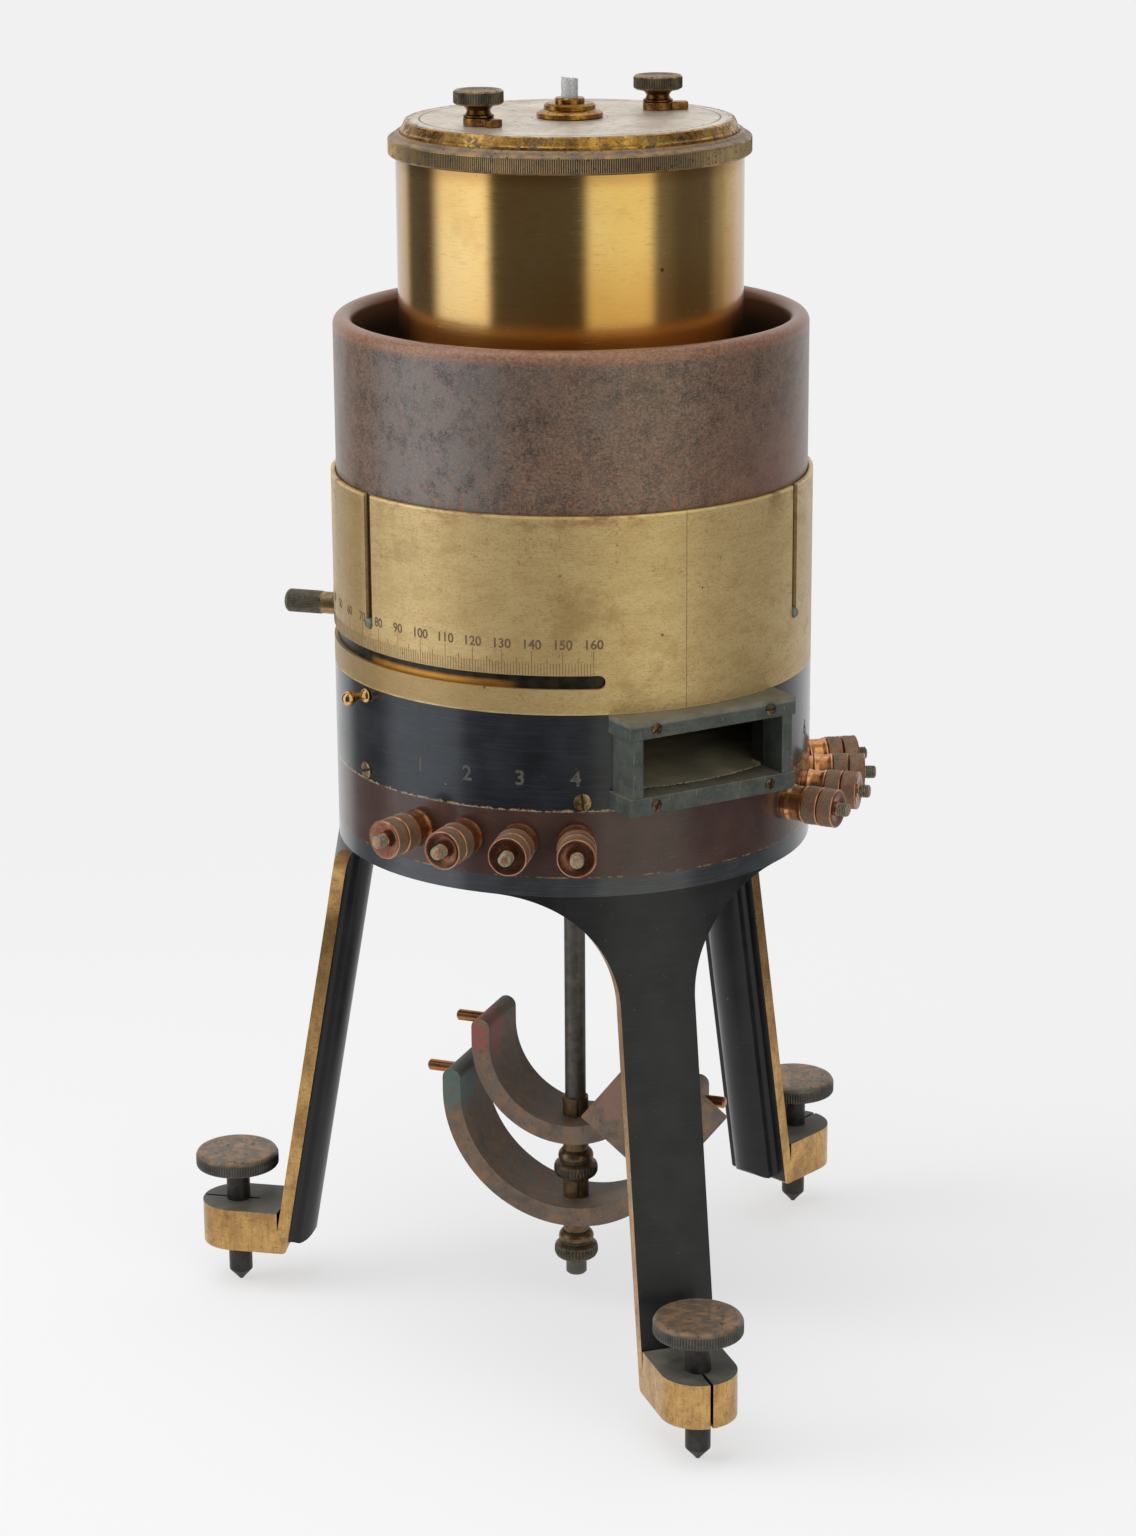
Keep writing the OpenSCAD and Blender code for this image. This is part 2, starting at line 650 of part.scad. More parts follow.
// Bare wires that rise from the studs, run in under the deck and rise to the coils' frame
module lead_wires() color([0.66, 0.42, 0.25]) for (a = terminal_azimuths) around(a) {
    translate([0, -lead_rise, terminal_z - stud_radius])
        cylinder(r = lead_radius, h = lead_level - lead_bend - terminal_z + stud_radius, $fn = 24);
    lead_bend_at(-lead_rise + lead_bend, lead_level - lead_bend, 90);
    outward(lead_circle + lead_bend, lead_level)
        cylinder(r = lead_radius, h = lead_rise - lead_circle - 2 * lead_bend, $fn = 24);
    lead_bend_at(-lead_circle - lead_bend, lead_level + lead_bend, 270);
    translate([0, -lead_circle, lead_level + lead_bend])
        cylinder(r = lead_radius, h = lead_top - lead_level - lead_bend, $fn = 24);
}

module terminal_studs() color([0.6, 0.38, 0.27]) for (a = terminal_azimuths) around(a)
    outward(0, terminal_z) turned([[0, stud_inner], [stud_radius, stud_inner],
        [stud_radius, body_radius], [seat_radius, body_radius], [seat_radius, body_radius + seat_length],
        [collar_radius - 0.3, body_radius + seat_length], [collar_radius, body_radius + seat_length + 0.4],
        [collar_waist, body_radius + seat_length + 1.6], [collar_waist, lock_nut_r - 1.8],
        [collar_radius, lock_nut_r - 0.5], [collar_radius - 0.3, lock_nut_r],
        [stud_radius, lock_nut_r], [stud_radius, nut_face], [stud_end_radius, nut_face + loose],
        [stud_end_radius, stud_tip - 0.6], [stud_end_radius - 0.6, stud_tip], [0, stud_tip]]);

module lock_nuts() color([0.55, 0.4, 0.3]) for (a = terminal_azimuths) around(a)
    outward(lock_nut_r, terminal_z) nut_blank(nut_radius, stud_radius, nut_length);

module terminal_nut(i) color([0.58, 0.38, 0.28]) around(terminal_azimuths[i])
    outward(outer_nut_r, terminal_z) nut_blank(nut_radius, stud_radius + running, nut_length);

// Outline of a leg seen from outside: a straight strip that flares out below the base
module leg_outline() {
    half = leg_width / 2;
    translate([-half, lug_height]) square([leg_width, base_height - lug_height]);
    difference() {
        translate([-half - flare_radius, base_height - flare_radius])
            square([leg_width + 2 * flare_radius, flare_radius]);
        for (side = [-1, 1]) translate([side * (half + flare_radius), base_height - flare_radius])
            circle(r = flare_radius);
    }
}

// Face plate of a leg: a leaning cone's wall with a rounded heel, cut to the leg's outline
module leg_face() intersection() {
    heel = leg_foot_radius - leg_plate + heel_radius * tan(45 - leg_lean / 2);
    turned(concat([[body_radius - leg_plate, base_height], [body_radius, base_height],
            [leg_foot_radius, lug_height]],
            [for (k = [0:4]) let (t = 270 - k * (90 - leg_lean) / 4)
                [heel + heel_radius * cos(t), lug_height + heel_radius * (1 + sin(t))]]));
    rotate([90, 0, 0]) linear_extrude(2 * leg_foot_radius) leg_outline();
}

// Section of the moulded rib: square shoulders, hollow coves and a round nose
module rib_section() {
    root = leg_plate - 1.2;
    shoulder = leg_plate + 2.6;
    cove = 2.6;
    difference() {
        translate([-rib_width / 2 - cove, root]) square([rib_width + 2 * cove, shoulder - root]);
        for (side = [-1, 1]) translate([side * (rib_width / 2 + cove), shoulder]) circle(r = cove);
    }
    intersection() {
        translate([0, leg_plate + rib_depth - rib_width * 0.7]) circle(r = rib_width * 0.7);
        translate([-rib_width / 2, root]) square([rib_width, rib_depth + leg_plate - root]);
    }
}

// Side view of the rib's run, with a rounded lower end
module rib_side() {
    depth = leg_plate + rib_depth;
    low = -leg_run + rib_lift;
    translate([0, low + rib_end_radius]) square([depth + 1, leg_run]);
    translate([0, low]) square([depth - rib_end_radius, rib_end_radius + 1]);
    translate([depth - rib_end_radius, low + rib_end_radius]) circle(r = rib_end_radius);
}

module leg_rib() difference() {
    translate([0, -body_radius, base_height]) rotate([-leg_lean, 0, 0]) intersection() {
        translate([0, 0, -leg_run]) linear_extrude(leg_run + 10) rib_section();
        rotate([90, 0, 90]) linear_extrude(leg_width, center = true) rib_side();
    }
    translate([-leg_width, -body_radius - overcut, base_height])
        cube([2 * leg_width, pad_reach + leg_width, leg_width]);
}

// Foot lug with its bore and the clamping slit
module foot_lug() difference() {
    translate([0, 0, lug_height]) linear_extrude(lug_thickness) {
        translate([0, -foot_circle]) circle(d = leg_width);
        translate([-leg_width / 2, -foot_circle])
            square([leg_width, foot_circle - leg_foot_radius + leg_plate / 2]);
    }
    translate([0, -foot_circle, lug_height - overcut])
        cylinder(r = screw_radius + running, h = lug_thickness + 2 * overcut);
    translate([-0.5, -foot_circle - leg_width, lug_height - overcut])
        cube([1, leg_width + 8, lug_thickness + 2 * overcut]);
}

// Pad under the base, with the threads of the leg's two screws
module leg_pad() difference() {
    translate([-leg_width / 2, 0, base_height - pad_thickness])
        translate([0, -body_radius + leg_plate / 2, 0])
            cube([leg_width, body_radius - leg_plate / 2 - pad_inner, pad_thickness]);
    leg_screw_places()
        cylinder(r = leg_screw_radius * 0.6, h = 3 * (base_thickness + pad_thickness), center = true);
}

module leg(azimuth) color([0.14, 0.15, 0.16]) around(azimuth) {
    leg_face();
    leg_rib();
    leg_pad();
    foot_lug();
}

module front_leg() leg(leg_azimuths[0]);
module right_leg() leg(leg_azimuths[1]);
module left_leg() leg(leg_azimuths[2]);

module leg_screws() color([0.4, 0.36, 0.3]) for (a = leg_azimuths) around(a) leg_screw_places()
    slotted_screw(leg_screw_radius, 1.8, leg_screw_radius * 0.6, base_thickness + pad_thickness * 0.8);

// Levelling screw: conical point with a small toe, plain shaft and a wide knurled head
module foot_screw(azimuth) color([0.25, 0.22, 0.19]) around(azimuth) translate([0, -foot_circle, 0])
    turned([[0, 0], [toe_radius, 0], [toe_radius, toe_height],
            [screw_radius, toe_height + screw_radius - toe_radius], [screw_radius, head_z],
            [screw_head_radius - 1, head_z], [screw_head_radius, head_z + 1],
            [screw_head_radius, head_z + screw_head_thickness - 1.2],
            [screw_head_radius - 0.9, head_z + screw_head_thickness],
            [0, head_z + screw_head_thickness]]);

module front_foot_screw() foot_screw(leg_azimuths[0]);
module right_foot_screw() foot_screw(leg_azimuths[1]);
module left_foot_screw() foot_screw(leg_azimuths[2]);

// Rod with a flange that rests on the base plate
module magnet_rod() color([0.25, 0.24, 0.23])
    turned([[0, rod_end], [rod_radius - 0.6, rod_end], [rod_radius, rod_end + 0.6],
            [rod_radius, ring_z], [rod_flange_radius, ring_z], [rod_flange_radius, ring_z + rod_flange],
            [0, ring_z + rod_flange]]);

// Frame of the magnets: +X towards the right-hand poles, -Y towards the near faces
module at_magnets() rotate([0, 0, magnet_azimuth]) children();

// Half-round bend with two straight arms that end round
module magnet(radius, centre, arm_length, width) at_magnets() difference() {
    translate([0, 0, centre]) rotate([90, 0, 0]) linear_extrude(width, center = true) {
        difference() {
            circle(r = radius);
            circle(r = radius - magnet_thickness);
            translate([-radius - overcut, 0]) square([2 * (radius + overcut), radius + overcut]);
        }
        for (side = [-1, 1]) translate([side * (radius - magnet_thickness / 2), 0]) {
            translate([-magnet_thickness / 2, 0]) square([magnet_thickness, arm_length]);
            translate([0, arm_length]) circle(d = magnet_thickness);
        }
    }
    translate([0, 0, centre - radius - overcut])
        cylinder(r = collet_outer + running, h = magnet_thickness + 3 * overcut);
    magnet_pin_places(radius, centre + arm_length) cylinder(r = turning_pin_radius, h = pin_bury + overcut);
}

// Places of the two pins that stand out of a magnet's arms, just below their round ends
module magnet_pin_places(radius, arm_top) for (side = [-1, 1])
    translate([side * (radius - pin_bury), 0, arm_top - 1]) rotate([0, side * 90, 0]) children();

module turning_pins(radius, arm_top) color([0.65, 0.4, 0.27]) at_magnets()
    magnet_pin_places(radius, arm_top)
        turned([[0, 0], [turning_pin_radius, 0], [turning_pin_radius, pin_bury + pin_reach - 0.6],
                [turning_pin_radius - 0.6, pin_bury + pin_reach], [0, pin_bury + pin_reach]]);

module upper_magnet() color([0.42, 0.33, 0.29])
    magnet(upper_radius, upper_centre, upper_arm, magnet_width);
module lower_magnet() color([0.4, 0.33, 0.3])
    magnet(lower_radius, lower_centre, lower_arm, lower_magnet_width);
module upper_pins() turning_pins(upper_radius, upper_centre + upper_arm);
module lower_pins() turning_pins(lower_radius, lower_centre + lower_arm);

// Sleeve on the rod, slit at its upper end so that the nut can clamp it
module collet(magnet_low) color([0.4, 0.32, 0.2]) {
    top = magnet_low + magnet_thickness + collet_stand;
    low = magnet_low - nut_drop - collet_thread;
    difference() {
        translate([0, 0, low]) tube(collet_outer, collet_bore, top - low);
        for (turn = [0, 90]) at_magnets() rotate([0, 0, turn + 30])
            translate([-collet_outer - overcut, -0.4, top - collet_stand + 0.6])
                cube([2 * (collet_outer + overcut), 0.8, collet_stand]);
    }
}

module upper_collet() collet(upper_low);
module lower_collet() collet(lower_low);

// Two-tier knurled nut on the collet's lower end
module clamp_nut(magnet_low) color([0.28, 0.26, 0.24]) {
    top = magnet_low - nut_drop;
    tier = clamp_nut_radius - 1.55;
    bore = collet_outer + running;
    low = top - nut_tier - nut_body;
    turned([[rod_radius + loose, low], [clamp_nut_radius - 0.8, low], [clamp_nut_radius, low + 1],
            [clamp_nut_radius, top - nut_tier - 1], [clamp_nut_radius - 1, top - nut_tier],
            [tier - 0.6, top - nut_tier], [tier, top - nut_tier + 0.9], [tier, top - 0.8],
            [tier - 0.6, top], [bore, top], [bore, top - collet_thread - running],
            [rod_radius + loose, top - collet_thread - running]]);
}

module upper_clamp_nut() clamp_nut(upper_low);
module lower_clamp_nut() clamp_nut(lower_low);

// Square soft-iron plate that lies against the near faces of both right-hand poles
module keeper_plate() color([0.45, 0.33, 0.28]) at_magnets()
    translate([keeper_across, -magnet_width / 2, keeper_z]) rotate([90, keeper_turn, 0])
        linear_extrude(keeper_thickness) square(keeper_side, center = true);

base_plate();
terminal_ring();
housing();
deck_plate();
window_top_bar();
window_bottom_bar();
window_left_cheek();
window_right_cheek();
window_screws();
housing_screws();
arrest_knob();
scale_sleeve();
index_ring();
index_handle();
iron_shield();
shield_pins();
inner_can();
lid_ring();
top_bezel();
top_plate();
torsion_hub();
torsion_head();
glass_tube();
left_thumbscrew();
right_thumbscrew();
left_latch();
right_latch();
inner_shield();
coil_frame();
coils();
needle_stem();
mirror();
lead_wires();
terminal_studs();
lock_nuts();
terminal_nut(0);  // terminal_nut_1
terminal_nut(1);  // terminal_nut_2
terminal_nut(2);  // terminal_nut_3
terminal_nut(3);  // terminal_nut_4
terminal_nut(4);  // terminal_nut_5
terminal_nut(5);  // terminal_nut_6
terminal_nut(6);  // terminal_nut_7
terminal_nut(7);  // terminal_nut_8
front_leg();
right_leg();
left_leg();
leg_screws();
front_foot_screw();
right_foot_screw();
left_foot_screw();
magnet_rod();
upper_magnet();
lower_magnet();
upper_pins();
lower_pins();
upper_collet();
lower_collet();
upper_clamp_nut();
lower_clamp_nut();
keeper_plate();
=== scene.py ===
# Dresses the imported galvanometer: knurls, threads, screws, scale marks and the finish of every piece.
import math
import random

import bmesh
import bpy
from mathutils import Matrix, Vector


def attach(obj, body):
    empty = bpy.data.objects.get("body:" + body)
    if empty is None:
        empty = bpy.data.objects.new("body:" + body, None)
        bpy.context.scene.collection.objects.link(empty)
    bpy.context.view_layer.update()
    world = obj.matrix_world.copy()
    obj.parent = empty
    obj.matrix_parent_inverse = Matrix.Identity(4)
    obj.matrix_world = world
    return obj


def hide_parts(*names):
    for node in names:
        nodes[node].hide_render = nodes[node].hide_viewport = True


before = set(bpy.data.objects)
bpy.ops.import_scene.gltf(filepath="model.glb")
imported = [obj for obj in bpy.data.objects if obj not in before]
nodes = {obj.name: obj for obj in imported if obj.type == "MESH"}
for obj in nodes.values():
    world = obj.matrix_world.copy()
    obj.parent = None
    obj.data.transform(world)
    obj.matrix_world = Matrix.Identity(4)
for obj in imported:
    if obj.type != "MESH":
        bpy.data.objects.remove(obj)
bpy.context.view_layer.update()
scene = bpy.context.scene
scene.view_settings.view_transform = "Standard"
print("frame loaded")

# Levels and radii of the round body, in millimetres, as the frame has them
body = {"drum": 81.4, "can": 57.65, "ringZ": 189.4, "sleeveTop": 310.0, "slotZ": 255.5, "shieldTop": 362.5,
        "terminalZ": 202.282, "terminalFirst": 30.5, "terminalPitch": 12.87, "footCircle": 126.0,
        "tunnelZ": 219.1, "lugTop": 32.3, "legFoot": 110.3}
legAzimuths = {"front_leg": -12.6, "right_leg": 107.4, "left_leg": -132.6}
terminalAzimuths = [-body["terminalFirst"] - i * body["terminalPitch"] for i in (3, 2, 1, 0)] + \
                   [body["terminalFirst"] + i * body["terminalPitch"] for i in range(4)]


def tint(red, green, blue):
    # a colour as a screen shows it, from 0 to 255, made linear
    return tuple((v / 255 / 12.92 if v / 255 <= 0.04045 else ((v / 255 + 0.055) / 1.055) ** 2.4)
                 for v in (red, green, blue)) + (1.0,)


def around(azimuth, radius, height=0.0):
    # a place in metres: azimuth in degrees from -Y towards +X, the rest in millimetres
    turn = math.radians(azimuth)
    return Vector((radius * math.sin(turn), -radius * math.cos(turn), height)) * 0.001


# turns millimetres into metres
millimetres = Matrix.Scale(0.001, 4)


def spin(angle, axis="Z"):
    return Matrix.Rotation(math.radians(angle), 4, axis)


def uprightPlace(azimuth, radius, height):
    # takes a piece drawn along +Z in millimetres and stands it at an azimuth
    return spin(azimuth) @ Matrix.Translation((0, -radius * 0.001, height * 0.001)) @ millimetres


def outwardPlace(azimuth, radius, height):
    # the same, with the piece pointing outwards
    return uprightPlace(azimuth, radius, height) @ spin(90, "X")


def deeper(colour, share):
    return tuple(v * share for v in colour[:3]) + (1,)


class Wiring:
    # builds one node tree; an input may be a number, a colour or another node's output
    def __init__(self, tree):
        self.tree = tree

    def node(self, kind, **settings):
        made = self.tree.nodes.new(kind)
        for key, value in settings.items():
            setattr(made, key, value)
        return made

    def feed(self, socket, value):
        if isinstance(value, bpy.types.NodeSocket):
            self.tree.links.new(value, socket)
        else:
            socket.default_value = value

    def run(self, kind, inputs, **settings):
        # a node with its inputs fed, by name or by number; gives its first output
        made = self.node(kind, **settings)
        for key, value in inputs.items():
            self.feed(made.inputs[key], value)
        return made.outputs[0]

    def math(self, operation, *values):
        return self.run("ShaderNodeMath", dict(enumerate(values)), operation=operation)

    def fit(self, value, low, high, toLow=0.0, toHigh=1.0, smooth=False):
        return self.run("ShaderNodeMapRange", dict(enumerate((value, low, high, toLow, toHigh))),
                        interpolation_type="SMOOTHSTEP" if smooth else "LINEAR")

    def both(self, first, second):
        return self.math("MULTIPLY", first, second)

    def either(self, first, second):
        return self.math("MAXIMUM", first, second)

    def away(self, value, middle):
        # how far a value lies from a middle one
        return self.math("ABSOLUTE", self.math("SUBTRACT", value, middle))

    def blend(self, share, first, second):
        # a mix of two numbers; mix is for two colours
        return self.run("ShaderNodeMix", {0: share, 2: first, 3: second}, data_type="FLOAT")

    def mix(self, share, first, second):
        made = self.node("ShaderNodeMix", data_type="RGBA")
        self.feed(made.inputs[0], share)
        self.feed(made.inputs[6], first)
        self.feed(made.inputs[7], second)
        return made.outputs[2]

    def split(self, vector):
        made = self.node("ShaderNodeSeparateXYZ")
        self.feed(made.inputs[0], vector)
        return made.outputs

    def combine(self, x=0.0, y=0.0, z=0.0):
        return self.run("ShaderNodeCombineXYZ", {0: x, 1: y, 2: z})


class Finish(Wiring):
    # a material round one shader, drawn in the piece's own coordinates
    def __init__(self, name):
        self.material = bpy.data.materials.new(name)
        self.material.use_nodes = True
        super().__init__(self.material.node_tree)
        self.tree.nodes.clear()
        self.shader = self.node("ShaderNodeBsdfPrincipled")
        self.feed(self.node("ShaderNodeOutputMaterial").inputs[0], self.shader.outputs[0])
        self.place = self.node("ShaderNodeTexCoord").outputs["Object"]
        self.x, self.y, self.z = self.split(self.place)

    def stretched(self, size, stretch=(1, 1, 1), turn=(0, 0, 0), shift=(0, 0, 0)):
        # object coordinates in units of size millimetres, longer along an axis by its stretch
        return self.run("ShaderNodeMapping", {
            "Vector": self.place, "Location": shift, "Rotation": [math.radians(a) for a in turn],
            "Scale": [1000 / size / s for s in stretch]})

    def cloud(self, size, detail=3.0, rough=0.55, warp=0.0, **placing):
        return self.run("ShaderNodeTexNoise", {
            "Vector": self.stretched(size, **placing), "Scale": 1.0, "Detail": detail, "Roughness": rough,
            "Distortion": warp})

    def spots(self, size, share=0.3, soft=0.1, **placing):
        # round specks, one in some of the cells; share is how large the largest are
        made = self.node("ShaderNodeTexVoronoi", feature="F1")
        self.feed(made.inputs["Vector"], self.stretched(size, **placing))
        made.inputs["Scale"].default_value = 1.0
        kind = self.node("ShaderNodeSeparateColor")
        self.feed(kind.inputs[0], made.outputs["Color"])
        reach = self.both(self.fit(kind.outputs[0], 0.35, 1.0, 0.0, 1.0), share)
        inside = self.math("SUBTRACT", reach, made.outputs["Distance"])
        return self.fit(inside, 0.0, soft * share + 0.001, smooth=True)

    def scratches(self, size, length, share, **placing):
        streak = self.cloud(size, detail=1.0, stretch=(1, 1, length), **placing)
        return self.fit(streak, 1 - share, 1 - share + 0.03, smooth=True)

    def height(self, low, high):
        # rises from 0 to 1 between two heights in millimetres
        return self.fit(self.z, low * 0.001, high * 0.001, smooth=True)

    def hairlines(self, radius, size, length, share, slant=0.0, shift=0.0):
        # scratches on an unrolled cylinder, size millimetres wide and longer along the turn
        run = self.both(self.math("ARCTAN2", self.x, self.both(self.y, -1.0)), radius)
        rise = self.both(self.z, 1000.0)
        lean = math.radians(slant)
        along = self.math("ADD", self.both(run, math.cos(lean)), self.both(rise, math.sin(lean)))
        across = self.math("SUBTRACT", self.both(rise, math.cos(lean)), self.both(run, math.sin(lean)))
        place = self.combine(self.both(along, 1 / size / length), self.both(across, 1 / size), shift)
        streak = self.run("ShaderNodeTexNoise", {"Vector": place, "Scale": 1.0, "Detail": 1.0})
        return self.fit(streak, 1 - share, 1 - share + 0.03, smooth=True)

    def coat(self, weight, rough, density=1.33):
        # a clear layer; density is its index of refraction
        for key, value in (("Coat Weight", weight), ("Coat Roughness", rough), ("Coat IOR", density)):
            self.shader.inputs[key].default_value = value

    def fromAxis(self):
        return self.math("SQRT", self.math("ADD", self.both(self.x, self.x), self.both(self.y, self.y)))

    def ring(self, radius, width):
        # a circle round the axis, in millimetres
        return self.fit(self.away(self.fromAxis(), radius * 0.001), width * 0.0005, width * 0.0009, 1.0, 0.0)

    def toward(self, azimuth):
        # how far a place lies towards an azimuth, in metres
        made = self.node("ShaderNodeVectorMath", operation="DOT_PRODUCT")
        self.feed(made.inputs[0], self.place)
        made.inputs[1].default_value = tuple(around(azimuth, 1000))
        return made.outputs["Value"]

    def attribute(self, name):
        return self.node("ShaderNodeAttribute", attribute_name=name).outputs["Fac"]

    def bump(self, height, depth):
        # depth in millimetres
        return self.run("ShaderNodeBump", {"Strength": 1.0, "Distance": depth * 0.001, "Height": height})

    def done(self, colour, rough, metal, height=None, depth=0.0, **more):
        self.feed(self.shader.inputs["Base Color"], colour)
        self.feed(self.shader.inputs["Roughness"], rough)
        self.feed(self.shader.inputs["Metallic"], metal)
        if height is not None:
            self.feed(self.shader.inputs["Normal"], self.bump(height, depth))
        for key, value in more.items():
            self.feed(self.shader.inputs[key.replace("_", " ")], value)
        return self.material


# Camera: 86.9 mm lens, from the front left and above
view = {"lens": 86.91, "sensor": 36, "clip": 0.01, "place": (-0.6336, -1.0546, 0.5702), "turn": -30.907,
        "tilt": 16.626, "roll": -0.361}
cameraData = bpy.data.cameras.new("photoCamera")
cameraData.lens = view["lens"]
cameraData.sensor_width = view["sensor"]
cameraData.sensor_fit = "AUTO"
cameraData.clip_start = view["clip"]
camera = bpy.data.objects.new("photoCamera", cameraData)
aim = spin(view["turn"]) @ spin(90 - view["tilt"], "X") @ spin(view["roll"])
camera.matrix_world = Matrix.Translation(view["place"]) @ aim
scene.collection.objects.link(camera)
scene.camera = camera

# Stage: a pale floor, a pale surround for the camera, and soft bright and dark zones that the metal mirrors
stage = {"pale": 0.88, "floorColour": (0.76, 0.765, 0.775, 1), "floorNear": 0.34, "floorMiddle": 1.0,
         "floorFar": 6.0, "floorSides": 72, "topFrom": 0.45, "topWhole": 0.8,
         "shade": 0.36, "shadeNear": 0.16, "shadeFar": 0.7, "diffuse": 0.6, "top": 0.28, "topZone": 1.0,
         # azimuth in degrees, brightness seen in the metal, and which hue it has
         "zones": ((-180, 0.8, 0), (-172, 0.7, 0), (-160, 0.1, 0), (-138, 0.085, 2), (-122, 1.0, 1),
                   (-90, 1.1, 1), (-82, 0.08, 2), (-25, 0.075, 2), (-16, 0.84, 3), (20, 0.92, 3),
                   (30, 0.17, 2), (48, 0.09, 2), (70, 0.1, 2), (84, 0.3, 0), (98, 0.56, 0), (115, 0.78, 0),
                   (180, 0.8, 0)),
         "hues": ((1, 1, 1, 1), (1, 1.06, 1.14, 1), (1, 0.95, 1.0, 1), (1, 1.02, 0.84, 1))}


def makeStage(paper):
    sides = stage["floorSides"]
    near, far = [stage["floorNear"]], [stage["floorNear"], stage["floorMiddle"], stage["floorFar"]]
    for name, radii in (("floorNear", near), ("floorFar", far)):
        made = bmesh.new()
        rings = [[made.verts.new((radius * math.cos(turn), radius * math.sin(turn), 0))
                  for turn in (2 * math.pi * k / sides for k in range(sides))] for radius in radii]
        if len(rings) == 1:
            made.faces.new(rings[0])
        for low, high in zip(rings, rings[1:]):
            for k in range(sides):
                made.faces.new((low[k], high[k], high[(k + 1) % sides], low[(k + 1) % sides]))
        mesh = bpy.data.meshes.new(name)
        made.to_mesh(mesh)
        made.free()
        floor = bpy.data.objects.new(name, mesh)
        scene.collection.objects.link(floor)
        mesh.materials.append(paper)
        floor.visible_glossy = name == "floorNear"


def floorPaper():
    # paper that takes a soft shadow near the object and is plainly pale further off
    f = Finish("floorPaper")
    ray = f.node("ShaderNodeLightPath").outputs
    seen = f.either(f.either(ray["Is Camera Ray"], ray["Is Glossy Ray"]), ray["Is Transmission Ray"])
    shade = f.fit(f.fromAxis(), stage["shadeNear"], stage["shadeFar"], stage["shade"], 0.0, smooth=True)
    plain = f.both(seen, f.math("SUBTRACT", 1.0, shade))
    f.shader.inputs["Emission Color"].default_value = (1, 1, 1, 1)
    f.feed(f.shader.inputs["Emission Strength"], f.both(plain, stage["pale"]))
    f.shader.inputs["Specular IOR Level"].default_value = 0.0
    return f.done(f.mix(plain, stage["floorColour"], (0, 0, 0, 1)), 1.0, 0.0)


makeStage(floorPaper())


def zoneRamp(w, share, wantsHue):
    # the zones round the horizon, as levels or as hues
    made = w.node("ShaderNodeValToRGB")
    w.feed(made.inputs[0], share)
    ramp = made.color_ramp
    ramp.interpolation = "EASE"
    while len(ramp.elements) > 1:
        ramp.elements.remove(ramp.elements[0])
    for i, (angle, level, hue) in enumerate(stage["zones"]):
        place = (angle + 180) / 360
        element = ramp.elements[0] if i == 0 else ramp.elements.new(place)
        element.position = place
        element.color = stage["hues"][hue] if wantsHue else (level, level, level, 1)
    return made.outputs[0]


def makeWorld():
    world = bpy.data.worlds.new("studio")
    scene.world = world
    world.use_nodes = True
    world.node_tree.nodes.clear()
    w = Wiring(world.node_tree)
    x, y, z = w.split(w.node("ShaderNodeTexCoord").outputs["Generated"])
    azimuth = w.math("ARCTAN2", x, w.both(y, -1.0))
    share = w.math("ADD", w.math("DIVIDE", azimuth, 2 * math.pi), 0.5)
    levels, hues = zoneRamp(w, share, False), zoneRamp(w, share, True)
    high = w.math("ADD", w.both(levels, stage["topZone"]), stage["top"])
    mirrored = w.blend(w.fit(z, stage["topFrom"], stage["topWhole"], smooth=True), levels, high)
    ray = w.node("ShaderNodeLightPath").outputs
    level = w.blend(ray["Is Glossy Ray"], stage["diffuse"], mirrored)
    level = w.blend(w.either(ray["Is Camera Ray"], ray["Is Transmission Ray"]), level, stage["pale"])
    colour = w.mix(ray["Is Glossy Ray"], (1, 1, 1, 1), hues)
    background = w.run("ShaderNodeBackground", {"Strength": level, "Color": colour})
    w.feed(w.node("ShaderNodeOutputWorld").inputs[0], background)


makeWorld()

# Lamps: azimuth, height above the floor, distance, width, height, watts
lamps = {"leftSoftbox": (-112, 0.75, 1.7, 1.1, 1.5, 23), "rightSoftbox": (2, 0.6, 1.9, 1.2, 1.5, 11),
         "topSoftbox": (-70, 2.1, 0.5, 1.6, 1.6, 24)}
lampAim = Vector((0, 0, 0.22))
for name, (angle, high, away, width, tall, watts) in lamps.items():
    lampData = bpy.data.lights.new(name, "AREA")
    lampData.shape = "RECTANGLE"
    lampData.size, lampData.size_y, lampData.energy = width, tall, watts
    lamp = bpy.data.objects.new(name, lampData)
    place = around(angle, away * 1000, high * 1000)
    lamp.location = place
    lamp.rotation_euler = (lampAim - place).to_track_quat("-Z", "Y").to_euler()
    lamp.visible_glossy = False
    lamp.visible_camera = False
    scene.collection.objects.link(lamp)
print("camera, stage and lights made")


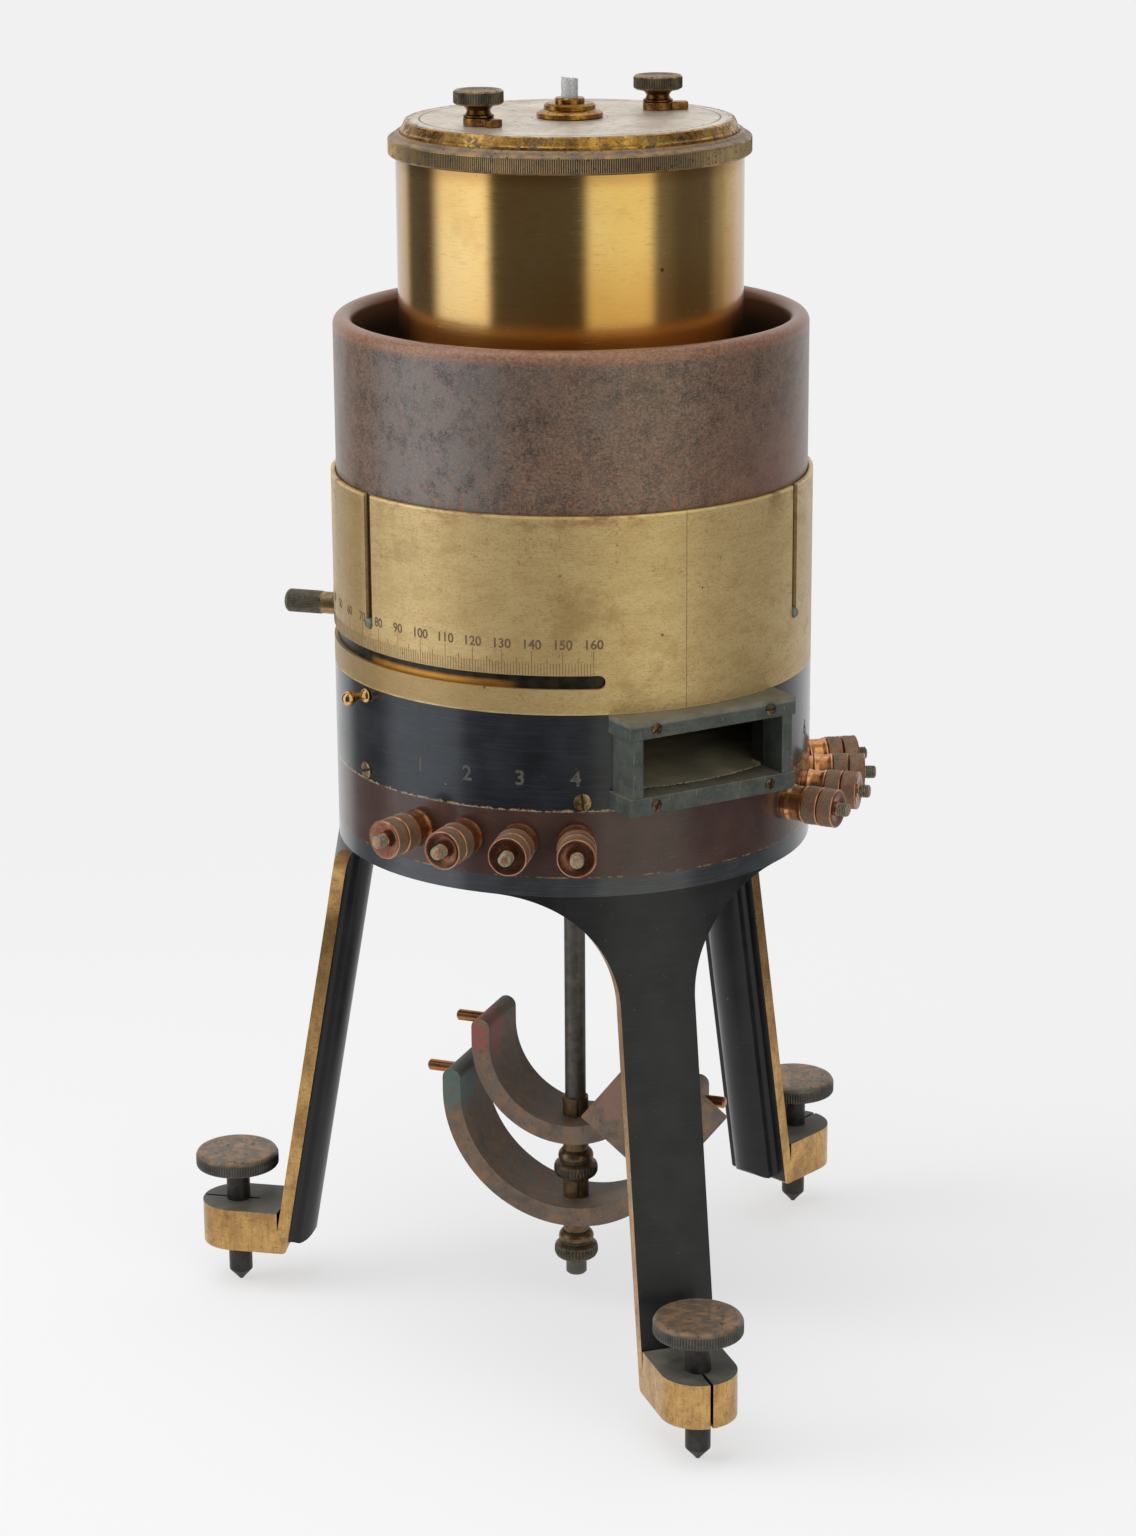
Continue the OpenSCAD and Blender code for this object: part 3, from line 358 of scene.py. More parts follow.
# Finishes
def polishedCan():
    f = Finish("canLacquer")
    tone = f.cloud(38, detail=4, stretch=(1, 1, 1.6))
    colour = f.mix(f.fit(tone, 0.35, 0.7), tint(234, 188, 106), tint(242, 204, 134))
    browned = f.fit(f.cloud(14, detail=5, rough=0.65, shift=(3, 9, 1)), 0.54, 0.7)
    colour = f.mix(f.both(browned, 0.3), colour, tint(198, 140, 68))
    grain = f.fit(f.cloud(0.4, detail=3, stretch=(10, 10, 1), shift=(5, 1, 1)), 0.54, 0.72, 0.0, 0.3)
    colour = f.mix(grain, colour, tint(178, 128, 64))
    # painted shade just under the lid, and a warmer colour low down towards the front
    colour = f.mix(f.fit(f.z, 0.409, 0.4145, 0.0, 0.55, smooth=True), colour, tint(182, 124, 56))
    low = f.both(f.fit(f.z, 0.398, 0.366, smooth=True), f.fit(f.toward(0), 0.02, 0.055, 0.2, 0.75))
    colour = f.mix(low, colour, tint(206, 146, 62))
    streak = f.cloud(0.35, detail=2, stretch=(90, 90, 1))
    field = f.fit(f.cloud(16, detail=3, shift=(4, 4, 9)), 0.5, 0.62)
    can = body["can"]
    marks = f.either(f.hairlines(can, 0.26, 60, 0.24, 5), f.hairlines(can, 0.22, 40, 0.19, -24, 4))
    marks = f.either(marks, f.hairlines(can, 0.22, 40, 0.17, 61, 9))
    marks = f.either(marks, f.both(f.hairlines(can, 0.26, 20, 0.26, 2, 17), field))
    colour = f.mix(f.both(marks, 0.5), colour, tint(250, 238, 200))
    nicks = f.both(f.hairlines(can, 0.3, 8, 0.27, 35, 23), field)
    pits = f.either(f.either(f.spots(15, 0.045), f.spots(34, 0.035, shift=(2, 8, 5))), nicks)
    colour = f.mix(f.both(pits, 0.85), colour, tint(84, 58, 32))
    rough = f.math("ADD", f.fit(streak, 0.3, 0.7, 0.15, 0.21), f.both(f.either(marks, pits), 0.22))
    f.shader.inputs["Anisotropic"].default_value = 0.7
    f.shader.inputs["Anisotropic Rotation"].default_value = 0.25
    f.shader.inputs["Specular Tint"].default_value = (0.72, 0.74, 0.84, 1)
    f.feed(f.shader.inputs["Tangent"], f.run("ShaderNodeTangent", {}, direction_type="RADIAL", axis="Z"))
    f.coat(0.6, 0.1, 1.4)
    return f.done(colour, rough, 1.0, streak, 0.004)


def pittedBezel():
    f = Finish("bezelBrass")
    tone, grit = f.cloud(9, detail=4), f.cloud(0.8, detail=4, rough=0.7)
    colour = f.mix(f.fit(tone, 0.4, 0.7), tint(188, 138, 64), tint(226, 180, 92))
    browned = f.fit(f.cloud(5, detail=5, rough=0.7, shift=(7, 2, 3)), 0.46, 0.6)
    colour = f.mix(f.both(browned, 0.7), colour, tint(126, 88, 48))
    pits = f.either(f.either(f.spots(2.4, 0.5), f.spots(1.3, 0.42, shift=(5, 2, 1))),
                    f.fit(f.cloud(2.8, detail=5, rough=0.72), 0.54, 0.59))
    pits = f.either(pits, f.fit(grit, 0.56, 0.64, 0.0, 0.6))
    patches = f.fit(f.cloud(13, detail=3, shift=(2, 2, 6)), 0.4, 0.55, 0.45, 1.0)
    pits = f.both(pits, patches)
    colour = f.mix(f.both(pits, 0.92), colour,
                   f.mix(f.fit(tone, 0.4, 0.6), tint(70, 52, 36), tint(84, 74, 66)))
    return f.done(colour, f.fit(pits, 0, 1, 0.26, 0.6), f.fit(pits, 0, 1, 1.0, 0.5), pits, -0.03)


def darkLid():
    f = Finish("lidPatina")
    groove, wear, knurl = f.attribute("groove"), f.attribute("wear"), f.attribute("knurl")
    tone = f.cloud(6, detail=5, rough=0.65)
    colour = f.mix(f.fit(tone, 0.35, 0.65), tint(100, 89, 79), tint(136, 119, 103))
    crest = f.both(f.both(knurl, f.fit(groove, 0.1, 0.6, 1.0, 0.0)), f.fit(tone, 0.3, 0.6, 0.4, 0.9))
    colour = f.mix(crest, colour, tint(202, 176, 128))
    flecks = f.fit(f.cloud(2.2, detail=5, rough=0.75, shift=(1, 5, 2)), 0.58, 0.62)
    bright = f.either(f.both(flecks, 0.6), f.both(wear, f.fit(tone, 0.4, 0.62, 0.1, 0.8)))
    colour = f.mix(bright, colour, tint(196, 152, 88))
    colour = f.mix(f.both(groove, 0.8), colour, tint(44, 37, 30))
    pits = f.either(f.spots(1.7, 0.34, shift=(2, 2, 2)), f.fit(f.cloud(0.7, detail=3, rough=0.7), 0.6, 0.66))
    colour = f.mix(f.both(pits, 0.7), colour, tint(58, 50, 43))
    return f.done(colour, f.fit(bright, 0, 1, 0.46, 0.3), f.fit(bright, 0, 1, 0.6, 1.0), pits, -0.02)


def silveredPlate():
    f = Finish("plateSilver")
    broad, small = f.cloud(16, detail=4), f.cloud(2.4, detail=5, rough=0.7)
    colour = f.mix(f.fit(broad, 0.35, 0.65), tint(204, 190, 172), tint(230, 220, 204))
    colour = f.mix(f.fit(small, 0.5, 0.66, 0.0, 0.5), colour, tint(154, 140, 118))
    dots = f.spots(5, 0.16)
    colour = f.mix(dots, colour, tint(90, 74, 56))
    line = f.either(f.ring(49.6, 0.5), f.ring(12.6, 0.25))
    colour = f.mix(f.both(line, 0.75), colour, tint(72, 64, 54))
    edge = f.fit(f.fromAxis(), 0.0515, 0.0534)
    colour = f.mix(f.both(edge, f.fit(small, 0.4, 0.6)), colour, tint(112, 98, 72))
    return f.done(colour, 0.42, 0.75, f.math("SUBTRACT", f.both(small, 0.4), line), 0.03)


def brightHead():
    f = Finish("headBrass")
    tone = f.cloud(4, detail=4)
    ringMarks = f.cloud(0.25, detail=1, stretch=(8, 8, 1))
    colour = f.mix(f.fit(tone, 0.4, 0.7), tint(150, 106, 48), tint(204, 156, 78))
    stains = f.fit(f.cloud(1.6, detail=5, rough=0.7), 0.52, 0.64)
    colour = f.mix(f.both(stains, 0.75), colour, tint(84, 58, 32))
    return f.done(colour, f.fit(ringMarks, 0.3, 0.7, 0.16, 0.28), 1.0, stains, -0.01)


def frostedTube():
    f = Finish("tubeGlass")
    grain = f.cloud(0.5, detail=3, stretch=(1, 1, 3))
    colour = f.mix(grain, tint(196, 196, 194), tint(222, 222, 220))
    return f.done(colour, f.fit(grain, 0.3, 0.7, 0.16, 0.4), 0.0, grain, 0.03, Transmission_Weight=0.65)


def knobPatina(name, dark, light, rim):
    # knurled head of turned brass, dark in the grooves and rubbed bright at the edges
    f = Finish(name)
    groove, wear = f.attribute("groove"), f.attribute("wear")
    tone = f.cloud(2.6, detail=5, rough=0.68)
    colour = f.mix(f.fit(tone, 0.38, 0.64), dark, light)
    rubbed = f.both(wear, f.fit(f.cloud(1.3, detail=4), 0.35, 0.6))
    colour = f.mix(f.both(rubbed, 0.85), colour, rim)
    grime = f.either(f.both(groove, 0.7), f.spots(1.5, 0.3))
    colour = f.mix(grime, colour, deeper(dark, 0.22))
    return f.done(colour, f.fit(rubbed, 0, 1, 0.46, 0.28), f.fit(rubbed, 0, 1, 0.75, 1.0), tone, 0.03)


def latchCopper(name, dark, light, specks=0.8):
    f = Finish(name)
    tone = f.cloud(1.8, detail=5)
    colour = f.mix(f.fit(tone, 0.38, 0.64), dark, light)
    colour = f.mix(f.both(f.spots(1.6, 0.3), specks), colour, deeper(dark, 0.3))
    return f.done(colour, f.fit(tone, 0.3, 0.7, 0.22, 0.38), 1.0, tone, 0.02)


def rustedShield():
    f = Finish("shieldIron")
    broad = f.cloud(40, detail=3, warp=0.4)
    patch = f.cloud(8, detail=6, rough=0.78, shift=(4, 0, 2))
    other = f.cloud(17, detail=5, rough=0.7, shift=(1, 8, 6))
    grain = f.cloud(0.75, detail=5, rough=0.8, stretch=(1.5, 1.5, 1))
    grit = f.cloud(0.4, detail=3, rough=0.7, shift=(3, 3, 3))
    colour = f.mix(f.fit(grain, 0.36, 0.64), tint(74, 60, 51), tint(134, 110, 92))
    colour = f.mix(f.both(f.fit(broad, 0.5, 0.62, smooth=True), 0.22), colour, tint(90, 88, 86))
    sheen = f.both(f.fit(f.toward(-66), 0.0725, 0.0785, smooth=True), f.fit(grain, 0.7, 0.45))
    colour = f.mix(f.both(sheen, 0.65), colour, tint(100, 106, 108))
    dark = f.both(f.fit(grit, 0.42, 0.54), f.fit(patch, 0.48, 0.6))
    colour = f.mix(f.both(dark, 0.85), colour, tint(44, 46, 43))
    mould = f.cloud(14, detail=6, rough=0.72, shift=(6, 2, 9))
    green = f.both(f.fit(grit, 0.36, 0.6), f.fit(mould, 0.54, 0.7))
    colour = f.mix(f.both(green, 0.7), colour, tint(56, 62, 58))
    rust = f.fit(f.cloud(0.7, detail=4, rough=0.8, shift=(8, 2, 4)), 0.54, 0.6)
    rust = f.both(rust, f.fit(other, 0.4, 0.6, 0.4, 1.0))
    colour = f.mix(f.both(rust, 0.7), colour, tint(150, 96, 66))
    # redder low down on the right
    lowRight = f.both(f.fit(f.toward(40), 0.045, 0.08, smooth=True), f.fit(f.z, 0.35, 0.318, smooth=True))
    colour = f.mix(f.both(lowRight, 0.35), colour, tint(138, 98, 80))
    light = f.fit(f.cloud(0.5, detail=3, rough=0.7, stretch=(2, 2, 1), shift=(9, 9, 2)), 0.62, 0.7)
    colour = f.mix(f.both(light, 0.4), colour, tint(176, 164, 152))
    lowRust = f.both(f.spots(2.3, 0.3, shift=(1, 3, 5)), f.fit(f.z, 0.33, 0.312))
    colour = f.mix(f.both(lowRust, 0.8), colour, tint(158, 92, 52))
    rim = f.height(body["shieldTop"] - 5.5, body["shieldTop"] - 3)
    rimColour = f.mix(f.fit(grain, 0.4, 0.62), tint(120, 84, 66), tint(160, 118, 92))
    colour = f.mix(f.both(rim, 0.75), colour, rimColour)
    # inner wall: painted shade deep down and painted light near the top, and on its front part a pale painted
    # light that the can mirrors
    inner = f.fit(f.fromAxis(), 0.0738, 0.0745, 1.0, 0.0)
    wall = f.mix(f.height(body["shieldTop"] - 12, body["shieldTop"] - 1), tint(50, 40, 35), tint(130, 90, 68))
    wall = f.mix(f.fit(f.toward(-31), 0.0, 0.03), wall, tint(206, 172, 138))
    colour = f.mix(f.both(inner, 0.9), colour, wall)
    f.coat(0.5, 0.22)
    return f.done(colour, f.fit(grain, 0.35, 0.65, 0.36, 0.54), 0.4, f.math("ADD", grain, patch), 0.04)


def scaleBrass():
    f = Finish("sleeveBrass")
    broad = f.cloud(60, detail=3)
    mid = f.cloud(6, detail=6, rough=0.7, stretch=(2, 2, 1), shift=(2, 4, 1))
    grain = f.cloud(0.6, detail=4, rough=0.72, stretch=(1.6, 1.6, 1), shift=(5, 5, 5))
    streaks = f.cloud(0.4, detail=3, rough=0.65, stretch=(12, 12, 1), shift=(2, 7, 4))
    line = f.away(f.cloud(2.6, detail=2, warp=1.4, shift=(5, 9, 1)), 0.5)
    field = f.fit(f.cloud(8, detail=3, shift=(7, 3, 3)), 0.56, 0.62)
    squiggles = f.both(f.fit(line, 0.006, 0.014, 1.0, 0.0), field)
    colour = f.mix(f.fit(broad, 0.35, 0.65), tint(190, 164, 112), tint(206, 180, 128))
    colour = f.mix(f.fit(mid, 0.42, 0.7, 0.0, 0.65), colour, tint(176, 143, 88))
    colour = f.mix(f.fit(grain, 0.5, 0.7, 0.0, 0.6), colour, tint(148, 118, 70))
    colour = f.mix(f.fit(streaks, 0.54, 0.68, 0.0, 0.4), colour, tint(152, 121, 70))
    colour = f.mix(f.both(squiggles, 0.75), colour, tint(120, 94, 57))
    limb = f.both(f.fit(f.toward(-98), 0.0797, 0.0806), 0.5)
    foot = f.both(f.fit(f.z, 0.264, 0.2525, 0.0, 0.7), f.fit(f.toward(-85), 0.05, 0.074))
    shaded = f.either(limb, foot)
    colour = f.mix(shaded, colour, tint(142, 114, 70))
    stain = f.fit(f.cloud(16, detail=5, rough=0.7, stretch=(1.5, 1.5, 1), shift=(6, 3, 8)), 0.56, 0.66)
    colour = f.mix(f.both(stain, 0.4), colour, tint(146, 114, 66))
    pits = f.either(f.spots(7, 0.09), f.spots(19, 0.055, shift=(7, 7, 7)))
    colour = f.mix(f.both(pits, 0.85), colour, tint(84, 64, 38))
    specks = f.spots(13, 0.035, shift=(3, 1, 8))
    colour = f.mix(specks, colour, tint(236, 226, 196))
    marks = f.either(f.hairlines(body["drum"], 0.2, 36, 0.28, 12),
                     f.hairlines(body["drum"], 0.2, 40, 0.26, -52, 6))
    colour = f.mix(f.both(marks, 0.55), colour, tint(236, 218, 172))
    top = f.height(body["sleeveTop"] - 1.0, body["sleeveTop"] - 0.5)
    topRust = f.both(f.height(body["sleeveTop"] - 7, body["sleeveTop"]), f.fit(mid, 0.5, 0.62))
    colour = f.mix(f.both(topRust, 0.6), colour, tint(140, 92, 54))
    colour = f.mix(f.both(top, f.fit(mid, 0.62, 0.45)), colour, tint(226, 196, 128))
    low = f.both(f.fit(f.z, 0.2455, 0.2447), f.fit(mid, 0.4, 0.6))
    colour = f.mix(low, colour, tint(222, 194, 130))
    inside = f.fit(f.fromAxis(), 0.0805, 0.0802)
    colour = f.mix(f.both(inside, 0.8), colour, tint(104, 82, 44))
    # joint of the rolled sheet
    seam = f.fit(f.math("ABSOLUTE", f.toward(85.8)), 0.00008, 0.00016, 1.0, 0.0)
    seam = f.both(seam, f.fit(f.y, 0.0, -0.01))
    colour = f.mix(f.both(seam, 0.8), colour, tint(112, 86, 48))
    relief = f.math("SUBTRACT", f.both(f.math("ADD", grain, streaks), 0.5), f.math("ADD", pits, seam))
    f.coat(0.35, 0.25)
    return f.done(colour, f.fit(grain, 0.3, 0.7, 0.38, 0.5), 0.6, relief, 0.015)


def blackLacquer(name, dark, light, gloss=0.16, layer=1.0, density=1.33, brush=20, edge=None):
    # painted brass with fine level brush marks, rubbed through along a lower edge at a height in millimetres
    f = Finish(name)
    mid, fine = f.cloud(12, detail=5), f.cloud(0.9, detail=4, rough=0.7)
    brushed = f.cloud(0.3, detail=3, rough=0.6, stretch=(50, 50, 1), shift=(3, 3, 3))
    colour = f.mix(f.fit(mid, 0.36, 0.68), tint(*dark), tint(*light))
    colour = f.mix(f.fit(brushed, 0.52, 0.74, 0.0, 0.6), colour, tint(*[v + brush for v in light]))
    field = f.fit(f.cloud(15, detail=3, shift=(4, 4, 9)), 0.52, 0.62, 0.1, 1.0)
    lines = f.both(f.hairlines(body["drum"], 0.18, 30, 0.23, -48, 5), field)
    marks = f.either(f.either(f.spots(9, 0.05), f.spots(3.4, 0.06, shift=(3, 1, 7))), lines)
    colour = f.mix(f.both(marks, 0.5), colour, tint(112, 110, 104))
    bare = 0.0
    if edge:
        wander = f.fit(f.cloud(2.2, detail=5, rough=0.8), 0.3, 0.7, 0.0009, -0.0009)
        bare = f.fit(f.math("ADD", f.away(f.z, edge * 0.001), wander), 0.00022, 0.00032, 1.0, 0.0)
        brass = f.mix(f.fit(fine, 0.35, 0.65), tint(96, 84, 62), tint(158, 144, 112))
        colour = f.mix(f.both(bare, 0.85), colour, brass)
        # the opening's floor, its bare metal made paler as painted light in the shaded opening, and a painted
        # highlight along its front edge
        sill = body["tunnelZ"] * 0.001
        inside = f.both(f.fit(f.fromAxis(), 0.0806, 0.0802),
                        f.fit(f.z, sill + 0.0004, sill + 0.0008, 1.0, 0.0))
        colour = f.mix(inside, colour, f.mix(f.fit(mid, 0.4, 0.6), tint(150, 143, 118), tint(178, 168, 138)))
        onSill = f.fit(f.away(f.z, sill), 0.0003, 0.0002)
        inOpening = f.fit(f.math("ABSOLUTE", f.x), 0.0268, 0.0267)
        inOpening = f.both(inOpening, f.fit(f.fromAxis(), 0.0812, 0.08115))
        # a painted highlight along the sill's front edge, broken up by a cloud
        paintWearAndSillGlint = f.both(onSill, f.ring(body["drum"] - 0.6, 0.8))
        paintWearAndSillGlint = f.both(paintWearAndSillGlint, f.fit(f.cloud(0.8, detail=3), 0.42, 0.52))
        colour = f.mix(f.both(paintWearAndSillGlint, inOpening), colour, tint(240, 226, 180))
    rough = f.math("ADD", f.fit(mid, 0.3, 0.7, 0.24, 0.36), f.both(f.either(bare, fine), 0.12))
    f.coat(layer, gloss, density)
    f.shader.inputs["IOR"].default_value = 1.33
    return f.done(colour, rough, 0.0, f.math("ADD", mid, f.both(f.math("ADD", fine, brushed), 0.4)), 0.008)


def brownRing():
    f = Finish("ringBrown")
    mid, fine = f.cloud(14, detail=3), f.cloud(0.7, detail=3)
    colour = f.mix(f.fit(mid, 0.34, 0.68), tint(54, 37, 33), tint(66, 47, 41))
    colour = f.mix(f.fit(fine, 0.62, 0.72, 0.0, 0.25), colour, tint(98, 80, 68))
    marks = f.either(f.hairlines(body["drum"], 0.18, 30, 0.27, 4), f.spots(12, 0.04))
    colour = f.mix(f.both(marks, 0.5), colour, tint(128, 108, 92))
    gold = f.both(f.fit(f.z, 0.18995, 0.18985), f.fit(f.cloud(5, detail=5, rough=0.75), 0.5, 0.6))
    colour = f.mix(f.both(gold, 0.6), colour, tint(138, 112, 70))
    f.coat(1.0, 0.2)
    f.shader.inputs["IOR"].default_value = 1.33
    return f.done(colour, f.fit(mid, 0.3, 0.7, 0.26, 0.36), 0.0, fine, 0.006)


def windowBronze():
    f = Finish("windowBronze")
    mid, fine = f.cloud(6, detail=4, rough=0.6), f.cloud(0.6, detail=4, rough=0.7)
    brushed = f.cloud(0.3, detail=3, stretch=(20, 20, 1), shift=(3, 3, 3))
    colour = f.mix(f.fit(mid, 0.36, 0.68), tint(60, 65, 61), tint(80, 84, 78))
    colour = f.mix(f.fit(fine, 0.54, 0.7, 0.0, 0.45), colour, tint(104, 106, 94))
    colour = f.mix(f.fit(brushed, 0.52, 0.72, 0.0, 0.4), colour, tint(50, 54, 52))
    # paler on what faces up: the top bar's top, and the sill, where the pale is painted light in the
    # opening's shade
    sill = f.both(f.fit(f.z, 0.21885, 0.21905), f.fit(f.z, 0.21925, 0.2194, 1.0, 0.0))
    top = f.both(f.either(f.height(242.6, 243.4), sill), f.fit(mid, 0.3, 0.6, 0.5, 1.0))
    colour = f.mix(f.both(top, 0.75), colour, tint(122, 116, 98))
    marks = f.either(f.spots(5, 0.07), f.scratches(0.25, 14, 0.31, turn=(40, 40, 0)))
    colour = f.mix(f.both(marks, 0.5), colour, tint(150, 142, 112))
    return f.done(colour, f.fit(mid, 0.3, 0.7, 0.42, 0.54), 0.35, f.math("ADD", mid, fine), 0.02)


def copperNut(name, green, polish, darkDirt, lightDirt):
    # copper-toned brass: thin bright rims, red-brown faces, green and brown on the knurl and the thread
    f = Finish(name)
    groove, wear, side, knurl = [f.attribute(key) for key in ("groove", "wear", "side", "knurl")]
    mid, fine = f.cloud(3.2, detail=5, rough=0.7), f.cloud(0.7, detail=4, rough=0.7)
    colour = f.mix(f.fit(mid, 0.38, 0.62), tint(112, 72, 58), tint(146, 98, 78))
    colour = f.mix(f.fit(fine, 0.5, 0.66, 0.0, 0.5), colour, tint(84, 52, 44))
    colour = f.mix(polish, colour, f.mix(f.fit(mid, 0.38, 0.62), tint(196, 122, 70), tint(234, 174, 118)))
    copper = f.mix(f.fit(fine, 0.4, 0.6), tint(128, 92, 72), tint(168, 126, 100))
    dirt = f.mix(f.fit(fine, 0.4, 0.6), darkDirt, lightDirt)
    flank = f.mix(f.fit(mid, 0.66 - green * 0.3, 0.72 - green * 0.3), copper, dirt)
    colour = f.mix(side, colour, flank)
    crest = f.both(f.both(knurl, f.fit(groove, 0.1, 0.5, 1.0, 0.0)), f.fit(mid, 0.36, 0.6, 0.8, 0.3))
    colour = f.mix(crest, colour, tint(206, 174, 142))
    colour = f.mix(f.both(wear, f.fit(mid, 0.3, 0.62, 0.9, 0.5)), colour, tint(216, 156, 120))
    colour = f.mix(f.both(groove, 0.75), colour,
                   f.mix(f.fit(mid, 0.42, 0.6), tint(66, 48, 36), tint(60, 60, 46)))
    grime = f.either(f.both(side, f.fit(mid, 0.4, 0.6, 0.5, 0.9)), f.both(groove, 0.7))
    colour = f.mix(f.both(f.spots(1.4, 0.22), 0.4), colour, tint(64, 46, 36))
    return f.done(colour, f.fit(grime, 0, 1, 0.24, 0.6), f.fit(grime, 0, 1, 0.95, 0.3), fine, 0.02)


def slottedBrass(name, light, dark):
    f = Finish(name)
    mid, fine, groove = f.cloud(1.4, detail=5, rough=0.7), f.cloud(0.5, detail=3), f.attribute("groove")
    colour = f.mix(f.fit(mid, 0.42, 0.6), dark, light)
    colour = f.mix(f.fit(fine, 0.55, 0.65, 0.0, 0.6), colour, deeper(dark, 0.4))
    colour = f.mix(f.both(groove, 0.9), colour, tint(16, 13, 11))
    return f.done(colour, f.fit(mid, 0.3, 0.7, 0.26, 0.42), f.fit(groove, 0, 1, 0.9, 0.1), mid, 0.02)


def magnetIron(name, patches, light=(116, 96, 78)):
    # rusted bar steel with the remains of painted poles, each patch a place, a reach and a colour
    f = Finish(name)
    mid, fine = f.cloud(7, detail=6, rough=0.7), f.cloud(0.8, detail=4, rough=0.72)
    colour = f.mix(f.fit(mid, 0.36, 0.66), tint(82, 70, 58), tint(*light))
    orange = f.fit(f.math("ADD", f.both(mid, 0.6), f.both(fine, 0.5)), 0.54, 0.64)
    colour = f.mix(f.both(orange, 0.5), colour, tint(130, 94, 64))
    steel = f.fit(f.cloud(5, detail=5, rough=0.7, shift=(4, 4, 1)), 0.53, 0.6)
    colour = f.mix(f.both(steel, 0.55), colour, tint(84, 88, 88))
    dark = f.fit(f.cloud(2.4, detail=5, rough=0.75, shift=(1, 9, 3)), 0.58, 0.66)
    colour = f.mix(f.both(dark, 0.5), colour, tint(54, 47, 42))
    for middle, reach, paint in patches:
        away = f.node("ShaderNodeVectorMath", operation="DISTANCE")
        f.feed(away.inputs[0], f.place)
        away.inputs[1].default_value = middle
        ragged = f.math("ADD", away.outputs["Value"], f.fit(f.cloud(3, detail=4), 0.3, 0.7, -0.002, 0.002))
        painted = f.fit(ragged, reach * 0.001, (reach + 0.5) * 0.001, 1.0, 0.0)
        paintWearAndSillGlint = f.fit(f.cloud(2.2, detail=5, rough=0.8, shift=(8, 1, 3)), 0.62, 0.54)
        colour = f.mix(f.both(painted, f.both(paintWearAndSillGlint, 0.8)), colour, paint)
    return f.done(colour, f.fit(mid, 0.3, 0.7, 0.5, 0.7), 0.25, f.math("ADD", mid, fine), 0.06)


def darkSteel(name, dark, light, rust=0.2):
    f = Finish(name)
    mid, fine = f.cloud(4, detail=5, rough=0.68), f.cloud(0.6, detail=3)
    colour = f.mix(f.fit(mid, 0.38, 0.64), dark, light)
    colour = f.mix(f.fit(f.cloud(2.6, detail=5, shift=(6, 2, 2)), 0.56, 0.66, 0.0, rust), colour,
                   tint(118, 84, 54))
    return f.done(colour, f.fit(mid, 0.3, 0.7, 0.38, 0.55), 0.55, fine, 0.02)


def bareBrass():
    f = Finish("legBrass")
    mid = f.cloud(9, detail=6, rough=0.65, stretch=(1, 1, 2))
    fine = f.cloud(0.9, detail=4, rough=0.65, stretch=(2, 2, 1))
    brushed = f.cloud(0.4, detail=3, stretch=(1, 1, 24), shift=(6, 2, 1))
    colour = f.mix(f.fit(mid, 0.38, 0.64), tint(166, 128, 80), tint(210, 168, 106))
    colour = f.mix(f.fit(brushed, 0.5, 0.7, 0.0, 0.5), colour, tint(144, 108, 68))
    stain = f.fit(f.cloud(3.4, detail=6, rough=0.75), 0.52, 0.64)
    colour = f.mix(f.both(stain, 0.6), colour, tint(136, 104, 80))
    colour = f.mix(f.fit(fine, 0.56, 0.7, 0.0, 0.55), colour, tint(120, 90, 58))
    dark = f.fit(f.cloud(5, detail=6, rough=0.8, shift=(8, 2, 2)), 0.65, 0.68)
    colour = f.mix(f.both(dark, 0.7), colour, tint(70, 54, 38))
    return f.done(colour, f.fit(fine, 0.3, 0.7, 0.24, 0.38), 0.95, fine, 0.015)


def footHead():
    f = Finish("footHeadBronze")
    groove, wear, side = f.attribute("groove"), f.attribute("wear"), f.attribute("side")
    mid, fine = f.cloud(6, detail=6, rough=0.7), f.cloud(0.8, detail=4, rough=0.7)
    colour = f.mix(f.fit(mid, 0.38, 0.62), tint(118, 94, 72), tint(146, 112, 82))
    grey = f.fit(f.cloud(3.6, detail=5, rough=0.66, warp=0.5, shift=(2, 6, 3)), 0.44, 0.56)
    colour = f.mix(f.both(grey, 0.85), colour, tint(84, 82, 74))
    black = f.fit(f.cloud(2.4, detail=4, rough=0.6, warp=0.4, shift=(9, 6, 3)), 0.6, 0.66)
    colour = f.mix(f.both(black, 0.75), colour, tint(54, 52, 50))
    colour = f.mix(f.fit(fine, 0.58, 0.7, 0.0, 0.45), colour, tint(150, 124, 96))
    # darker along the rounded rim of the top, where the wear attribute is high
    colour = f.mix(f.both(f.both(wear, 0.5), f.fit(mid, 0.42, 0.6)), colour, tint(104, 92, 74))
    colour = f.mix(f.both(side, 0.88), colour,
                   f.mix(f.fit(mid, 0.4, 0.6), tint(56, 57, 54), tint(84, 82, 74)))
    colour = f.mix(f.both(groove, 0.8), colour, tint(26, 25, 23))
    return f.done(colour, f.fit(black, 0, 1, 0.42, 0.56), 0.4, f.math("ADD", mid, fine), 0.03)


def windingSilk():
    f = Finish("windingSilk")
    turns = f.cloud(0.4, detail=1)
    colour = f.mix(f.fit(turns, 0.4, 0.6), tint(96, 58, 24), tint(150, 96, 44))
    return f.done(colour, 0.6, 0.0, turns, 0.05)


def plainMetal(name, dark, light, rough, metal=1.0):
    f = Finish(name)
    mid = f.cloud(5, detail=4)
    colour = f.mix(f.fit(mid, 0.35, 0.65), dark, light)
    return f.done(colour, f.fit(mid, 0.3, 0.7, rough * 0.8, rough * 1.2), metal, mid, 0.01)


